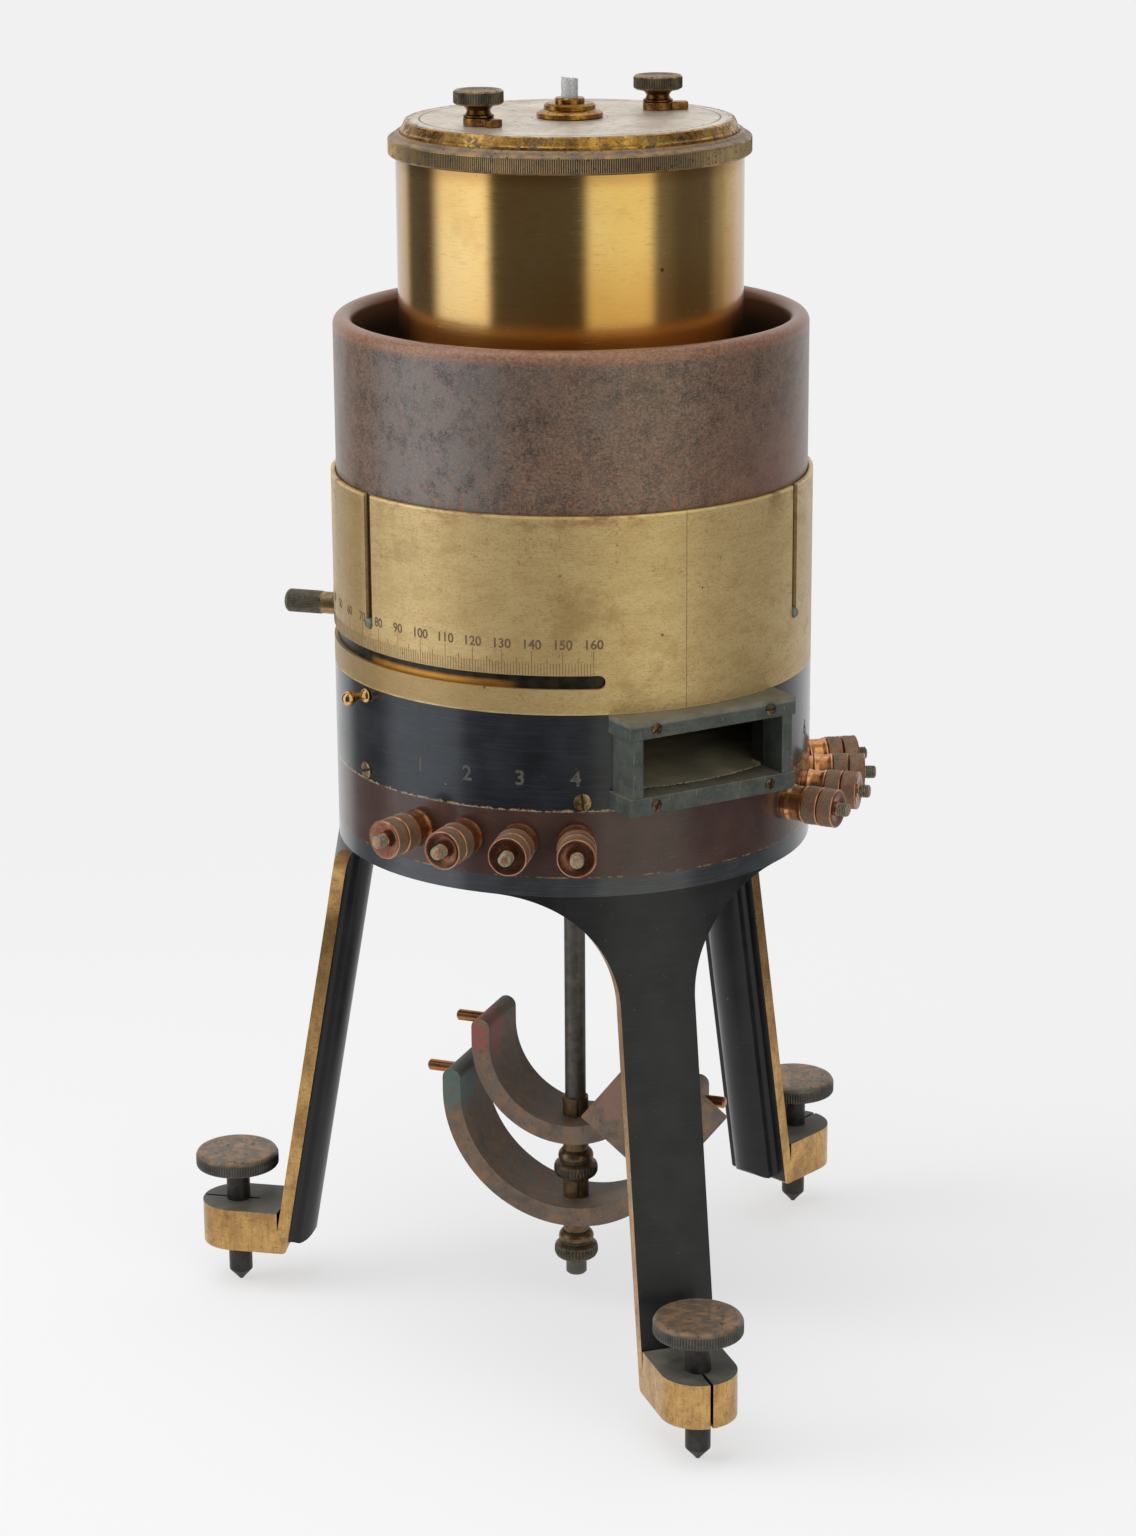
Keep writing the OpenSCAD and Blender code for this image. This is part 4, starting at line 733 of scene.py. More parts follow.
def indexBrass():
    # painted light: dark all over as painted shade, with a painted highlight low down where the left softbox
    # meets it
    f = Finish("indexBrass")
    mid = f.cloud(4, detail=4)
    lit = f.fit(f.toward(-66), 0.0735, 0.0772, smooth=True)
    low = f.height(body["slotZ"] + 0.4, body["slotZ"] - 1.2)
    lit = f.both(f.both(low, lit), f.fit(mid, 0.3, 0.6, 0.7, 1.0))
    colour = f.mix(lit, f.mix(f.fit(mid, 0.4, 0.6), tint(28, 25, 17), tint(48, 42, 26)), tint(214, 150, 64))
    return f.done(colour, f.fit(mid, 0.3, 0.7, 0.3, 0.4), f.fit(lit, 0, 1, 0.5, 1.0), mid, 0.01)


def engravedPaint(name, colour, spread):
    f = Finish(name)
    mid = f.cloud(1.1, detail=4, rough=0.7)
    return f.done(f.mix(f.fit(mid, 0.4, 0.62), colour, spread), f.fit(mid, 0.3, 0.7, 0.5, 0.7), 0.1)


finishes = {
    "can": polishedCan(), "bezel": pittedBezel(), "lid": darkLid(), "plate": silveredPlate(),
    "head": brightHead(), "glass": frostedTube(),
    "thumb": knobPatina("thumbPatina", tint(88, 82, 68), tint(122, 112, 92), tint(190, 154, 104)),
    "handle": knobPatina("handlePatina", tint(94, 94, 84), tint(124, 122, 108), tint(186, 144, 88)),
    "clamp": knobPatina("clampPatina", tint(66, 64, 56), tint(96, 88, 72), tint(146, 106, 66)),
    "arrest": plainMetal("arrestBrass", tint(196, 150, 96), tint(232, 190, 132), 0.12),
    "latch": latchCopper("latchCopper", tint(120, 82, 46), tint(176, 128, 76)),
    "neck": latchCopper("neckBronze", tint(96, 66, 38), tint(146, 104, 60)), "shield": rustedShield(),
    "sleeve": scaleBrass(),
    "housing": blackLacquer("housingLacquer", (19, 21, 24), (29, 32, 37), density=1.38, edge=212.2),
    "base": blackLacquer("baseLacquer", (38, 40, 43), (52, 54, 57), density=1.45),
    "leg": blackLacquer("legLacquer", (22, 22, 23), (32, 32, 34), 0.4, 0.38, brush=8),
    "lugTop": plainMetal("lugGrey", tint(76, 75, 68), tint(100, 97, 87), 0.62, 0.0), "ring": brownRing(),
    "window": windowBronze(),
    "stud": copperNut("studCopper", 0.85, 0.85, tint(108, 102, 82), tint(146, 144, 122)),
    "nut": copperNut("nutCopper", 0.5, 0.0, tint(98, 96, 78), tint(130, 126, 102)),
    "screw": slottedBrass("screwBrass", tint(176, 150, 108), tint(112, 92, 64)),
    "windowScrew": slottedBrass("windowScrewBronze", tint(138, 106, 78), tint(72, 64, 52)),
    "legBrass": bareBrass(), "foot": footHead(),
    "shaft": darkSteel("footShaft", tint(34, 34, 34), tint(56, 54, 50), 0.15),
    "rod": darkSteel("rodBronze", tint(70, 69, 62), tint(96, 92, 82), 0.2),
    "collet": darkSteel("colletBrass", tint(70, 60, 44), tint(120, 96, 58), 0.4),
    "pin": plainMetal("pinCopper", tint(158, 104, 68), tint(184, 128, 88), 0.34),
    "steelPin": plainMetal("pinSteel", tint(78, 82, 76), tint(112, 114, 104), 0.5, 0.3),
    "indexRing": indexBrass(), "deck": plainMetal("deckBrass", tint(120, 98, 50), tint(150, 124, 70), 0.4),
    "innerIron": darkSteel("innerIron", tint(60, 58, 58), tint(84, 78, 74), 0.3),
    "frameBrown": engravedPaint("frameBrown", tint(52, 36, 30), tint(74, 52, 42)),
    "silk": windingSilk(), "stem": plainMetal("stemMetal", tint(170, 170, 172), tint(206, 206, 208), 0.3),
    "mirror": plainMetal("mirrorSilver", tint(226, 230, 232), tint(240, 242, 244), 0.04),
    "wire": plainMetal("leadCopper", tint(168, 104, 66), tint(200, 132, 88), 0.35),
    "mark": engravedPaint("scaleMark", tint(78, 62, 40), tint(108, 88, 60)),
    "number": engravedPaint("terminalNumber", tint(84, 80, 74), tint(56, 55, 52))}
print("finishes made:", len(finishes))


def emptyTree(name, sockets):
    # a Geometry Nodes tree with its named inputs
    tree = bpy.data.node_groups.new(name, "GeometryNodeTree")
    for label, kind in sockets.items():
        tree.interface.new_socket(label, in_out="INPUT", socket_type="NodeSocket" + kind)
    tree.interface.new_socket("Geometry", in_out="OUTPUT", socket_type="NodeSocketGeometry")
    return Wiring(tree)


def closeTree(w, geometry, finish):
    # every tree ends in Realize Instances and Set Material
    real = w.run("GeometryNodeRealizeInstances", {0: geometry})
    painted = w.run("GeometryNodeSetMaterial", {"Geometry": real, "Material": finish})
    w.feed(w.node("NodeGroupOutput").inputs[0], painted)
    return w.tree


# Ridges cut into turned pieces: a knurl where the mesh says knurl, a screw thread where it says thread
def ridgeTree():
    w = emptyTree("cutRidges", {
        "Geometry": "Geometry", "Teeth": "Int", "Knurl Depth": "Float", "Lean": "Float", "Pitch": "Float",
        "Thread Depth": "Float", "Finish": "Material"})
    given = w.node("NodeGroupInput").outputs
    x, y, z = w.split(w.node("GeometryNodeInputPosition").outputs[0])
    turn = w.math("DIVIDE", w.math("ARCTAN2", y, x), 2 * math.pi)
    knurl, thread = [w.run("GeometryNodeInputNamedAttribute", {"Name": name}, data_type="FLOAT")
                     for name in ("knurl", "thread")]

    def zigzag(phase):
        # up to 1 and down to 0 in each whole phase
        return w.math("PINGPONG", w.both(phase, 2.0), 1.0)

    # teeth that lean one way and the other; without a lean they fall together
    straight, lean = w.both(turn, given["Teeth"]), w.both(z, given["Lean"])
    tooth = w.either(zigzag(w.math("ADD", straight, lean)), zigzag(w.math("SUBTRACT", straight, lean)))
    tooth = w.both(tooth, knurl)
    thread = w.both(zigzag(w.math("SUBTRACT", w.math("DIVIDE", z, given["Pitch"]), turn)), thread)
    depth = w.math("ADD", w.both(tooth, given["Knurl Depth"]), w.both(thread, given["Thread Depth"]))
    outward = w.run("ShaderNodeVectorMath", {0: w.combine(x, y)}, operation="NORMALIZE")
    inward = w.run("ShaderNodeVectorMath", {0: outward, "Scale": w.both(depth, -1.0)}, operation="SCALE")
    moved = w.run("GeometryNodeSetPosition", {"Geometry": given["Geometry"], "Offset": inward})
    grooved = w.run("GeometryNodeStoreNamedAttribute",
                    {"Name": "groove", "Geometry": moved, "Value": w.either(tooth, thread)},
                    data_type="FLOAT", domain="POINT")
    return closeTree(w, grooved, given["Finish"])


# Copies one piece to every point of a mesh, facing its "facing" attribute and turned by a seeded chance
def copiesTree():
    w = emptyTree("setCopies", {
        "Points": "Geometry", "Piece": "Object", "Turn Chance": "Float", "Seed": "Int", "Finish": "Material"})
    given = w.node("NodeGroupInput").outputs
    facing = w.run("GeometryNodeInputNamedAttribute", {"Name": "facing"}, data_type="FLOAT_VECTOR")
    aimed = w.run("FunctionNodeAlignRotationToVector", {"Vector": facing}, axis="Z")
    chance = w.node("FunctionNodeRandomValue", data_type="FLOAT")
    w.feed(chance.inputs[3], given["Turn Chance"])
    w.feed(chance.inputs["Seed"], given["Seed"])
    chanceTurn = w.run("FunctionNodeEulerToRotation", {0: w.combine(z=chance.outputs[1])})
    turned = w.run("FunctionNodeRotateRotation", {"Rotation": aimed, "Rotate By": chanceTurn},
                   rotation_space="LOCAL")
    info = w.node("GeometryNodeObjectInfo")
    w.feed(info.inputs["Object"], given["Piece"])
    copies = w.run("GeometryNodeInstanceOnPoints", {
        "Points": given["Points"], "Instance": info.outputs["Geometry"], "Rotation": turned})
    return closeTree(w, copies, given["Finish"])


# Divisions of the scale: thin strips on the sleeve, longer at every fifth and tenth
def divisionTree():
    lengths = ("Start", "Step", "Radius", "Low", "Unit", "Five", "Ten", "Width", "Thickness")
    w = emptyTree("scaleDivisions", {
        "Geometry": "Geometry", "Count": "Int", **{name: "Float" for name in lengths}, "Finish": "Material"})
    given = w.node("NodeGroupInput").outputs
    index = w.node("GeometryNodeInputIndex").outputs[0]
    line = w.run("GeometryNodeMeshLine", {"Count": given["Count"]}, mode="OFFSET", count_mode="TOTAL")
    turn = w.math("ADD", given["Start"], w.both(index, given["Step"]))
    isTen, isFive = [w.math("LESS_THAN", w.math("MODULO", index, every), 0.5) for every in (10.0, 5.0)]
    fiveMore = w.both(isFive, w.math("SUBTRACT", given["Five"], given["Unit"]))
    tenMore = w.both(isTen, w.math("SUBTRACT", given["Ten"], given["Five"]))
    tall = w.math("ADD", given["Unit"], w.math("ADD", fiveMore, tenMore))
    place = w.combine(w.both(w.math("SINE", turn), given["Radius"]),
                      w.both(w.math("COSINE", turn), w.both(given["Radius"], -1.0)),
                      w.math("ADD", given["Low"], w.math("DIVIDE", tall, 2.0)))
    moved = w.run("GeometryNodeSetPosition", {"Geometry": line, "Position": place})
    strip = w.run("GeometryNodeMeshCube", {"Size": w.combine(given["Width"], given["Thickness"], 1.0)})
    facing = w.run("FunctionNodeEulerToRotation", {0: w.combine(z=turn)})
    copies = w.run("GeometryNodeInstanceOnPoints", {
        "Points": moved, "Instance": strip, "Rotation": facing, "Scale": w.combine(1.0, 1.0, tall)})
    return closeTree(w, copies, given["Finish"])


ridges, copies, divisions = ridgeTree(), copiesTree(), divisionTree()


def grown(mesh, tree, name, **inputs):
    # runs a node tree on a mesh and gives the plain mesh that comes out
    holder = bpy.data.objects.new(name + "Source", mesh)
    scene.collection.objects.link(holder)
    modifier = holder.modifiers.new(tree.name, "NODES")
    modifier.node_group = tree
    sockets = {item.name: item.identifier for item in tree.interface.items_tree
               if item.item_type == "SOCKET" and item.in_out == "INPUT"}
    for key, value in inputs.items():
        label = "".join(" " + c if c.isupper() else c for c in key).strip().title()
        modifier[sockets[label]] = value
    bpy.context.view_layer.update()
    result = bpy.data.meshes.new_from_object(holder.evaluated_get(bpy.context.evaluated_depsgraph_get()))
    holder.modifiers.remove(modifier)
    bpy.data.objects.remove(holder)
    result.name = name
    return result


def turnedMesh(name, rows, segments, closed=False):
    # rows of radius, height, knurl, thread, wear, side; the ends close on the axis or on each other
    made = bmesh.new()
    layers = [made.verts.layers.float.new(key) for key in ("knurl", "thread", "wear", "side")]
    rings = []
    for row in rows:
        row = tuple(row) + (0,) * (6 - len(row))
        count = 1 if row[0] < 1e-6 else segments
        ring = []
        for k in range(count):
            turn = 2 * math.pi * k / segments
            vertex = made.verts.new((row[0] * math.cos(turn), row[0] * math.sin(turn), row[1]))
            for layer, value in zip(layers, row[2:]):
                vertex[layer] = value
            ring.append(vertex)
        rings.append(ring)
    if closed:
        rings.append(rings[0])
    for low, high in zip(rings, rings[1:]):
        for k in range(segments):
            a, b = low[k % len(low)], low[(k + 1) % len(low)]
            c, d = high[(k + 1) % len(high)], high[k % len(high)]
            corners = [a] if a is b else [a, b]
            corners += [c] if c is d else [c, d]
            if len(corners) > 2:
                made.faces.new(corners)
    bmesh.ops.recalc_face_normals(made, faces=made.faces)
    mesh = bpy.data.meshes.new(name)
    made.to_mesh(mesh)
    made.free()
    return mesh


def smoothed(mesh, angle=32):
    for polygon in mesh.polygons:
        polygon.use_smooth = True
    mesh.set_sharp_from_angle(angle=math.radians(angle))
    return mesh


def turned(name, rows, finish, teeth=0, depth=0.0, pitch=1.0, threadDepth=0.0, segments=64, closed=False,
           lean=0.0):
    # a turned piece in millimetres, with its knurl or thread cut
    count = 2 * teeth if teeth else segments
    mesh = turnedMesh(name, rows, count, closed)
    mesh = grown(mesh, ridges, name, teeth=teeth, knurlDepth=depth, lean=lean, pitch=pitch,
                 threadDepth=threadDepth, finish=finishes[finish])
    return smoothed(mesh)


def piece(name, mesh, rides, stands=(), finish=None):
    made = bpy.data.objects.new(name, mesh)
    scene.collection.objects.link(made)
    if finish:
        mesh.materials.clear()
        mesh.materials.append(finishes[finish])
    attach(made, rides)
    if stands:
        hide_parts(*stands)


def placed(mesh, matrix=millimetres):
    copy = mesh.copy()
    copy.transform(matrix)
    return copy


def joined(name, meshes):
    # several meshes with the same materials as one
    made = bmesh.new()
    for mesh in meshes:
        made.from_mesh(mesh)
    result = bpy.data.meshes.new(name)
    made.to_mesh(result)
    made.free()
    for material in meshes[0].materials:
        result.materials.append(material)
    return result


def pointMesh(name, places):
    # places are (position, facing) pairs in metres
    mesh = bpy.data.meshes.new(name)
    mesh.from_pydata([p for p, _ in places], [], [])
    facing = mesh.attributes.new("facing", "FLOAT_VECTOR", "POINT")
    for item, (_, direction) in zip(facing.data, places):
        item.vector = direction
    return mesh


def setRound(name, template, places, finish, chance=0.0, seed=1):
    # the same piece at several places, through the copies tree
    holder = bpy.data.objects.new(name + "Template", template)
    scene.collection.objects.link(holder)
    mesh = grown(pointMesh(name + "Points", places), copies, name, piece=holder, turnChance=chance, seed=seed,
                 finish=finishes[finish])
    bpy.data.objects.remove(holder)
    return smoothed(mesh)


# How a copy of a CAD piece is cleaned: doubles in millimetres, flat joints in degrees, weight of flat faces
cleaning = {"doubles": 0.002, "flat": 0.6, "weight": 90}


def softened(name, node, width, finish, angle=40, segments=2):
    # a copy of a CAD piece, merged and with its edges broken
    made = bmesh.new()
    made.from_mesh(nodes[node].data)
    bmesh.ops.remove_doubles(made, verts=made.verts, dist=cleaning["doubles"] * 0.001)
    bmesh.ops.dissolve_limit(made, angle_limit=math.radians(cleaning["flat"]), verts=made.verts,
                             edges=made.edges)
    for face in made.faces:
        face.smooth = True
    mesh = bpy.data.meshes.new(name)
    made.to_mesh(mesh)
    made.free()
    holder = bpy.data.objects.new(name + "Source", mesh)
    scene.collection.objects.link(holder)
    bevel = holder.modifiers.new("edges", "BEVEL")
    bevel.width = width * 0.001
    bevel.segments = segments
    bevel.limit_method = "ANGLE"
    bevel.angle_limit = math.radians(angle)
    bevel.use_clamp_overlap = True
    flat = holder.modifiers.new("normals", "WEIGHTED_NORMAL")
    flat.weight = cleaning["weight"]
    bpy.context.view_layer.update()
    result = bpy.data.meshes.new_from_object(holder.evaluated_get(bpy.context.evaluated_depsgraph_get()))
    holder.modifiers.clear()
    bpy.data.objects.remove(holder)
    result.name = name
    result.materials.clear()
    result.materials.append(finishes[finish])
    return result


def dress(node, finish):
    # a CAD piece that keeps its shape and takes a better material
    if not nodes[node].material_slots:
        nodes[node].data.materials.append(finishes[finish])
    for slot in nodes[node].material_slots:
        slot.material = finishes[finish]


dressed = {
    "inner_can": "can", "top_bezel": "bezel", "top_plate": "plate", "torsion_hub": "head",
    "torsion_head": "head", "iron_shield": "shield", "shield_pins": "steelPin", "scale_sleeve": "sleeve",
    "index_ring": "indexRing", "deck_plate": "deck", "housing": "housing", "terminal_ring": "ring",
    "base_plate": "base", "magnet_rod": "rod", "upper_collet": "collet", "lower_collet": "collet",
    "upper_pins": "pin", "lower_pins": "pin", "inner_shield": "innerIron", "coil_frame": "frameBrown",
    "coils": "silk", "needle_stem": "stem", "mirror": "mirror", "lead_wires": "wire"}
for node, finish in dressed.items():
    dress(node, finish)
print("CAD pieces dressed")

# Lid ring: fine straight knurl round the band
lid = {"teeth": 520, "depth": 0.32, "bore": 57.7, "radius": 60.1, "low": 414.9, "high": 421.0, "lip": 56.1,
       "seat": 421.05}


def makeLid():
    radius, low, high = lid["radius"], lid["low"], lid["high"]
    rows = [(lid["bore"], low), (radius - 0.7, low, 0, 0, 0.4), (radius - 0.2, low + 0.35, 0, 0, 1),
            (radius, low + 0.7, 0, 0, 1), (radius, low + 0.75, 1, 0, 0.3), (radius, high - 1.0, 1, 0, 0.3),
            (radius, high - 0.95, 0, 0, 1), (radius - 0.12, high - 0.6, 0, 0, 1),
            (radius - 0.5, high - 0.25, 0, 0, 0.6), (radius - 1.4, high + 0.25, 0, 0, 0.2),
            (radius - 2.0, high + 0.4, 0, 0, 0.1), (radius - 2.4, high + 0.9, 0, 0, 0.5),
            (radius - 2.75, high + 1.3, 0, 0, 1), (lid["lip"], high + 1.3, 0, 0, 0.4),
            (lid["lip"], lid["seat"]), (lid["bore"], lid["seat"])]
    mesh = turned("lidRing", rows, "lid", teeth=lid["teeth"], depth=lid["depth"], closed=True)
    piece("lidRing", placed(mesh), "lid", ["lid_ring"])


makeLid()

# Thumbscrews: knurled head with a dished top, copper neck and boss
thumb = {"teeth": 60, "depth": 0.28, "circle": 36.0, "radius": 8.2, "tall": 4.9, "top": 437.9,
         "plate": 426.35, "latch": 2.6, "latchEdge": 0.35, "shank": 2.4, "shankLow": 422.5,
         "azimuths": {"left": -86, "right": 94}}


def makeThumbs():
    low, top, radius = thumb["plate"] + thumb["latch"], thumb["top"], thumb["radius"]
    headLow, shank, shankLow = top - thumb["tall"], thumb["shank"], thumb["shankLow"]
    headRows = [(0, headLow), (radius - 2.2, headLow, 0, 0, 0.2), (radius - 0.9, headLow + 0.05, 0, 0, 0.6),
                (radius - 0.2, headLow + 0.5, 0, 0, 1), (radius, headLow + 0.8, 1), (radius, top - 0.9, 1),
                (radius - 0.15, top - 0.55, 0, 0, 1), (radius - 0.7, top - 0.1, 0, 0, 1),
                (radius - 1.8, top, 0, 0, 0.7), (radius - 2.5, top - 0.35, 0, 0, 0.2),
                (radius - 3.4, top - 0.55, 0, 0, 0.2), (0, top - 0.6, 0, 0, 0.5)]
    neckRows = [(0, shankLow), (shank, shankLow), (shank, low), (4.7, low), (5.1, low + 0.35),
                (5.0, low + 0.75), (4.3, low + 1.1), (3.95, low + 1.8), (3.8, low + 2.5),
                (3.95, headLow - 1.6), (4.5, headLow - 0.8), (5.4, headLow - 0.15), (6.0, headLow + 0.02),
                (0, headLow + 0.02)]
    head = turned("thumbHead", headRows, "thumb", teeth=thumb["teeth"], depth=thumb["depth"])
    neck = turned("thumbNeck", neckRows, "neck", segments=48)
    for side, azimuth in thumb["azimuths"].items():
        rides = side + "_latch_screw"
        place = uprightPlace(azimuth, thumb["circle"], 0)
        piece(side + "ThumbHead", placed(head, place), rides, [side + "_thumbscrew"])
        piece(side + "ThumbNeck", placed(neck, place), rides, [])
        latch = softened(side + "Latch", side + "_latch", thumb["latchEdge"], "latch")
        piece(side + "Latch", latch, rides, [side + "_latch"])


makeThumbs()

# Glass tube with a broken rim
tube = {"radius": 2.8, "wall": 0.8, "low": 423.0, "top": 439.55, "steps": 8, "sides": 48, "slope": 1.1,
        "chip": 0.5, "seed": 4}


def makeTube():
    rand = random.Random(tube["seed"])
    outer, steps, sides = tube["radius"], tube["steps"], tube["sides"]
    inner, tall = outer - tube["wall"], tube["top"] - tube["low"]
    levels = [tube["low"] + tall * k / steps for k in range(1, steps + 1)]
    rows = [(inner, tube["low"]), (outer, tube["low"])]
    rows += [(outer, level) for level in levels] + [(inner, level) for level in reversed(levels)]
    mesh = turnedMesh("glassTube", rows, sides, closed=True)
    chips = [rand.random() for _ in range(sides)]
    for vertex in mesh.vertices:
        if vertex.co.z > tube["top"] - 1:
            turn = math.atan2(vertex.co.y, vertex.co.x) / (2 * math.pi) % 1.0
            slope = tube["slope"] * (0.5 + 0.5 * math.sin(6.3 * turn + 1.1)) ** 2
            chip = tube["chip"] * chips[int(turn * (sides - 0.01))] ** 2
            vertex.co.z -= slope + chip
    piece("glassTube", placed(smoothed(mesh)), "torsion", ["glass_tube"], "glass")


makeTube()

# Index handle: copper-gold collar, knurled grip and domed end
handle = {"teeth": 44, "depth": 0.16, "azimuth": -138.7, "radius": 4.05, "neck": 2.0, "inner": 76.85,
          "tip": 105.4, "gap": 0.3, "collar": 10.08, "dome": 0.45}


def makeHandle():
    radius, tip, inner, neck = handle["radius"], handle["tip"], handle["inner"], handle["neck"]
    low, grip, dome = body["drum"] + handle["gap"], body["drum"] + handle["collar"], handle["dome"] * radius
    rows = [(0, inner), (neck, inner), (neck, low), (radius - 0.9, low, 0, 0, 1),
            (radius - 0.35, low + 0.5, 0, 0, 1), (radius - 0.2, low + 1.0, 0, 0, 1),
            (radius - 0.2, grip - 0.4, 0, 0, 1), (radius - 0.2, grip, 0, 0, 0.5),
            (radius, grip + 0.4, 1, 0, 0.3), (radius, tip - dome - 0.3, 1, 0, 0.1)]
    rows += [(radius * math.cos(t), tip - dome * (1 - math.sin(t)), 0, 0, 0.15)
             for t in [math.radians(15 * k) for k in range(6)]] + [(0, tip)]
    mesh = turned("indexHandle", rows, "handle", teeth=handle["teeth"], depth=handle["depth"])
    piece("indexHandle", placed(mesh, outwardPlace(handle["azimuth"], 0, body["slotZ"])), "index",
          ["index_handle"])


makeHandle()

# Arrest knob: a ball on a neck with a flange against the drum
arrest = {"azimuth": -88, "height": 241.7, "flange": 2.7, "thickness": 1.4, "neck": 1.45, "ball": 2.5,
          "reach": 6.95, "shank": 0.95, "inside": 8, "gap": 0.1}


def makeArrest():
    flange, neck, ball, reach = arrest["flange"], arrest["neck"], arrest["ball"], arrest["reach"]
    thick, shank, inside = arrest["thickness"], arrest["shank"], arrest["inside"]
    rows = [(0, -inside), (shank, -inside), (shank, 0), (flange - 0.8, 0), (flange - 0.45, 0.2),
            (flange - 0.3, 0.6), (flange - 0.4, 1.0), (flange - 0.75, thick), (neck + 0.2, thick + 0.2),
            (neck, thick + 0.7), (neck - 0.1, thick + 1.6), (neck - 0.05, reach - ball + 0.2)]
    rows += [(ball * math.cos(math.radians(a)), reach + ball * math.sin(math.radians(a)), 0, 0, 0.6)
             for a in range(-54, 90, 12)]
    mesh = turned("arrestKnob", rows + [(0, reach + ball)], "arrest", segments=40)
    place = outwardPlace(arrest["azimuth"], body["drum"] + arrest["gap"], arrest["height"])
    piece("arrestKnob", placed(mesh, place), "arrest", ["arrest_knob"])


makeArrest()

# Terminals: collared studs with threaded ends, and two knurled nuts on each
terminal = {"teeth": 52, "depth": 0.26, "lean": 1.1, "radius": 6.5, "stud": 2.4, "length": 5.4, "inner": 70.8,
            "lockNut": 89.5, "outerNut": 95.1, "tip": 104.4, "pitch": 0.62, "threadDepth": 0.28,
            "threadSteps": 24, "flankSteps": 9, "nutTurn": 17, "turnChance": 6.0, "seed": 3}


def nutRows(bore, radius, length):
    # radius, height, knurl, thread, wear, side
    steps = terminal["flankSteps"]
    flank = [(radius, 0.3 + (length - 0.82) * k / steps, 1, 0, 0.1, 1) for k in range(steps + 1)]
    return [(bore, 0, 0, 0, 0.1), (radius - 1.5, 0), (radius - 0.4, 0.02, 0, 0, 0.4),
            (radius - 0.12, 0.12, 0, 0, 1), (radius, 0.26, 0, 0, 1, 0.1), *flank,
            (radius, length - 0.48, 0, 0, 1, 0.1), (radius - 0.08, length - 0.3, 0, 0, 1),
            (radius - 0.28, length - 0.1, 0, 0, 0.9), (radius - 0.5, length, 0, 0, 0.25),
            (radius - 1.2, length - 0.04), (bore + 1.1, length - 0.1), (bore + 0.5, length - 0.35),
            (bore, length - 0.35)]


def makeTerminals():
    stud, nut, radius = terminal["stud"], terminal["lockNut"], terminal["radius"]
    collar, drum = radius - 0.2, body["drum"]
    rows = [(0, terminal["inner"]), (stud, terminal["inner"]), (stud, drum), (radius - 1.1, drum, 0, 0, 0.2),
            (radius - 1.1, drum + 1.3, 0, 0, 0.4), (collar - 0.4, drum + 1.4, 0, 0, 0.9),
            (collar - 0.05, drum + 1.65, 0, 0, 1), (collar, drum + 1.9, 0, 0, 1),
            (collar - 0.1, drum + 2.3, 0, 0, 0.4), (collar - 0.38, drum + 3.0, 0, 0, 0.2),
            (collar - 0.4, drum + 3.6), (collar - 0.4, nut - 2.2), (collar - 0.38, nut - 1.6, 0, 0, 0.2),
            (collar - 0.1, nut - 1.0, 0, 0, 0.4), (collar, nut - 0.6, 0, 0, 1),
            (collar - 0.05, nut - 0.25, 0, 0, 1), (collar - 0.35, nut, 0, 0, 0.5), (stud, nut)]
    face = terminal["outerNut"] + terminal["length"]
    rows += [(stud, face - 0.3), (stud - 0.1, face + 0.1, 0, 0, 0.4)]
    steps = terminal["threadSteps"]
    span = terminal["tip"] - 0.55 - (face + 0.2)
    rows += [(stud - 0.1, face + 0.2 + span * (k + 0.5) / steps, 0, 1, 0, 1) for k in range(steps)]
    rows += [(stud - 0.4, terminal["tip"] - 0.35, 0, 0, 0, 1),
             (stud - 0.9, terminal["tip"] - 0.05, 0, 0, 0, 1), (stud - 1.3, terminal["tip"], 0, 0, 0, 0.7),
             (0, terminal["tip"], 0, 0, 0, 0.45)]
    studMesh = turned("terminalStud", rows, "stud", pitch=terminal["pitch"],
                      threadDepth=terminal["threadDepth"], segments=48)
    knurl = {"teeth": terminal["teeth"], "depth": terminal["depth"], "lean": terminal["lean"]}
    lockMesh = turned("lockNut", nutRows(stud, radius, terminal["length"]), "nut", closed=True, **knurl)
    outerRows = nutRows(stud + 0.05, radius, terminal["length"])
    outerMesh = turned("outerNut", outerRows, "nut", closed=True, **knurl)
    outwards = [(around(a, 0, body["terminalZ"]), around(a, 1).normalized()) for a in terminalAzimuths]
    piece("terminalStuds", setRound("terminalStuds", placed(studMesh), outwards, "stud"), "case",
          ["terminal_studs"])
    seats = [(around(a, nut, body["terminalZ"]), around(a, 1).normalized()) for a in terminalAzimuths]
    nuts = setRound("lockNuts", placed(lockMesh), seats, "nut", terminal["turnChance"], terminal["seed"])
    piece("lockNuts", nuts, "case", ["lock_nuts"])
    for i, azimuth in enumerate(terminalAzimuths):
        place = outwardPlace(azimuth, terminal["outerNut"], body["terminalZ"]) @ spin(terminal["nutTurn"] * i)
        mesh = placed(outerMesh, place)
        piece("terminalNut%d" % (i + 1), mesh, "terminal_nut_%d_body" % (i + 1),
              ["terminal_nut_%d" % (i + 1)])


makeTerminals()

# Slotted screws of the housing, the window and the legs
screws = {"slotWidth": 0.3, "slotDepth": 0.75, "sides": 40, "drumHeight": 215.5, "drumFirst": -89,
          "drumCount": 6, "windowX": (-22, 22), "windowZ": (241.75, 216.15), "windowFace": 88.6,
          "legSide": (-7, 7), "legCircle": 66.9, "turnChance": 3.1,
          # radius and height of the head, radius and length of the shank, dome, seed of the turns
          "drum": (2.9, 0.8, 1.45, 6, 0.3, 11), "window": (1.9, 0.5, 1.045, 4, 0.2, 8),
          "leg": (3.0, 1.8, 1.8, 12, 0.5, 5)}


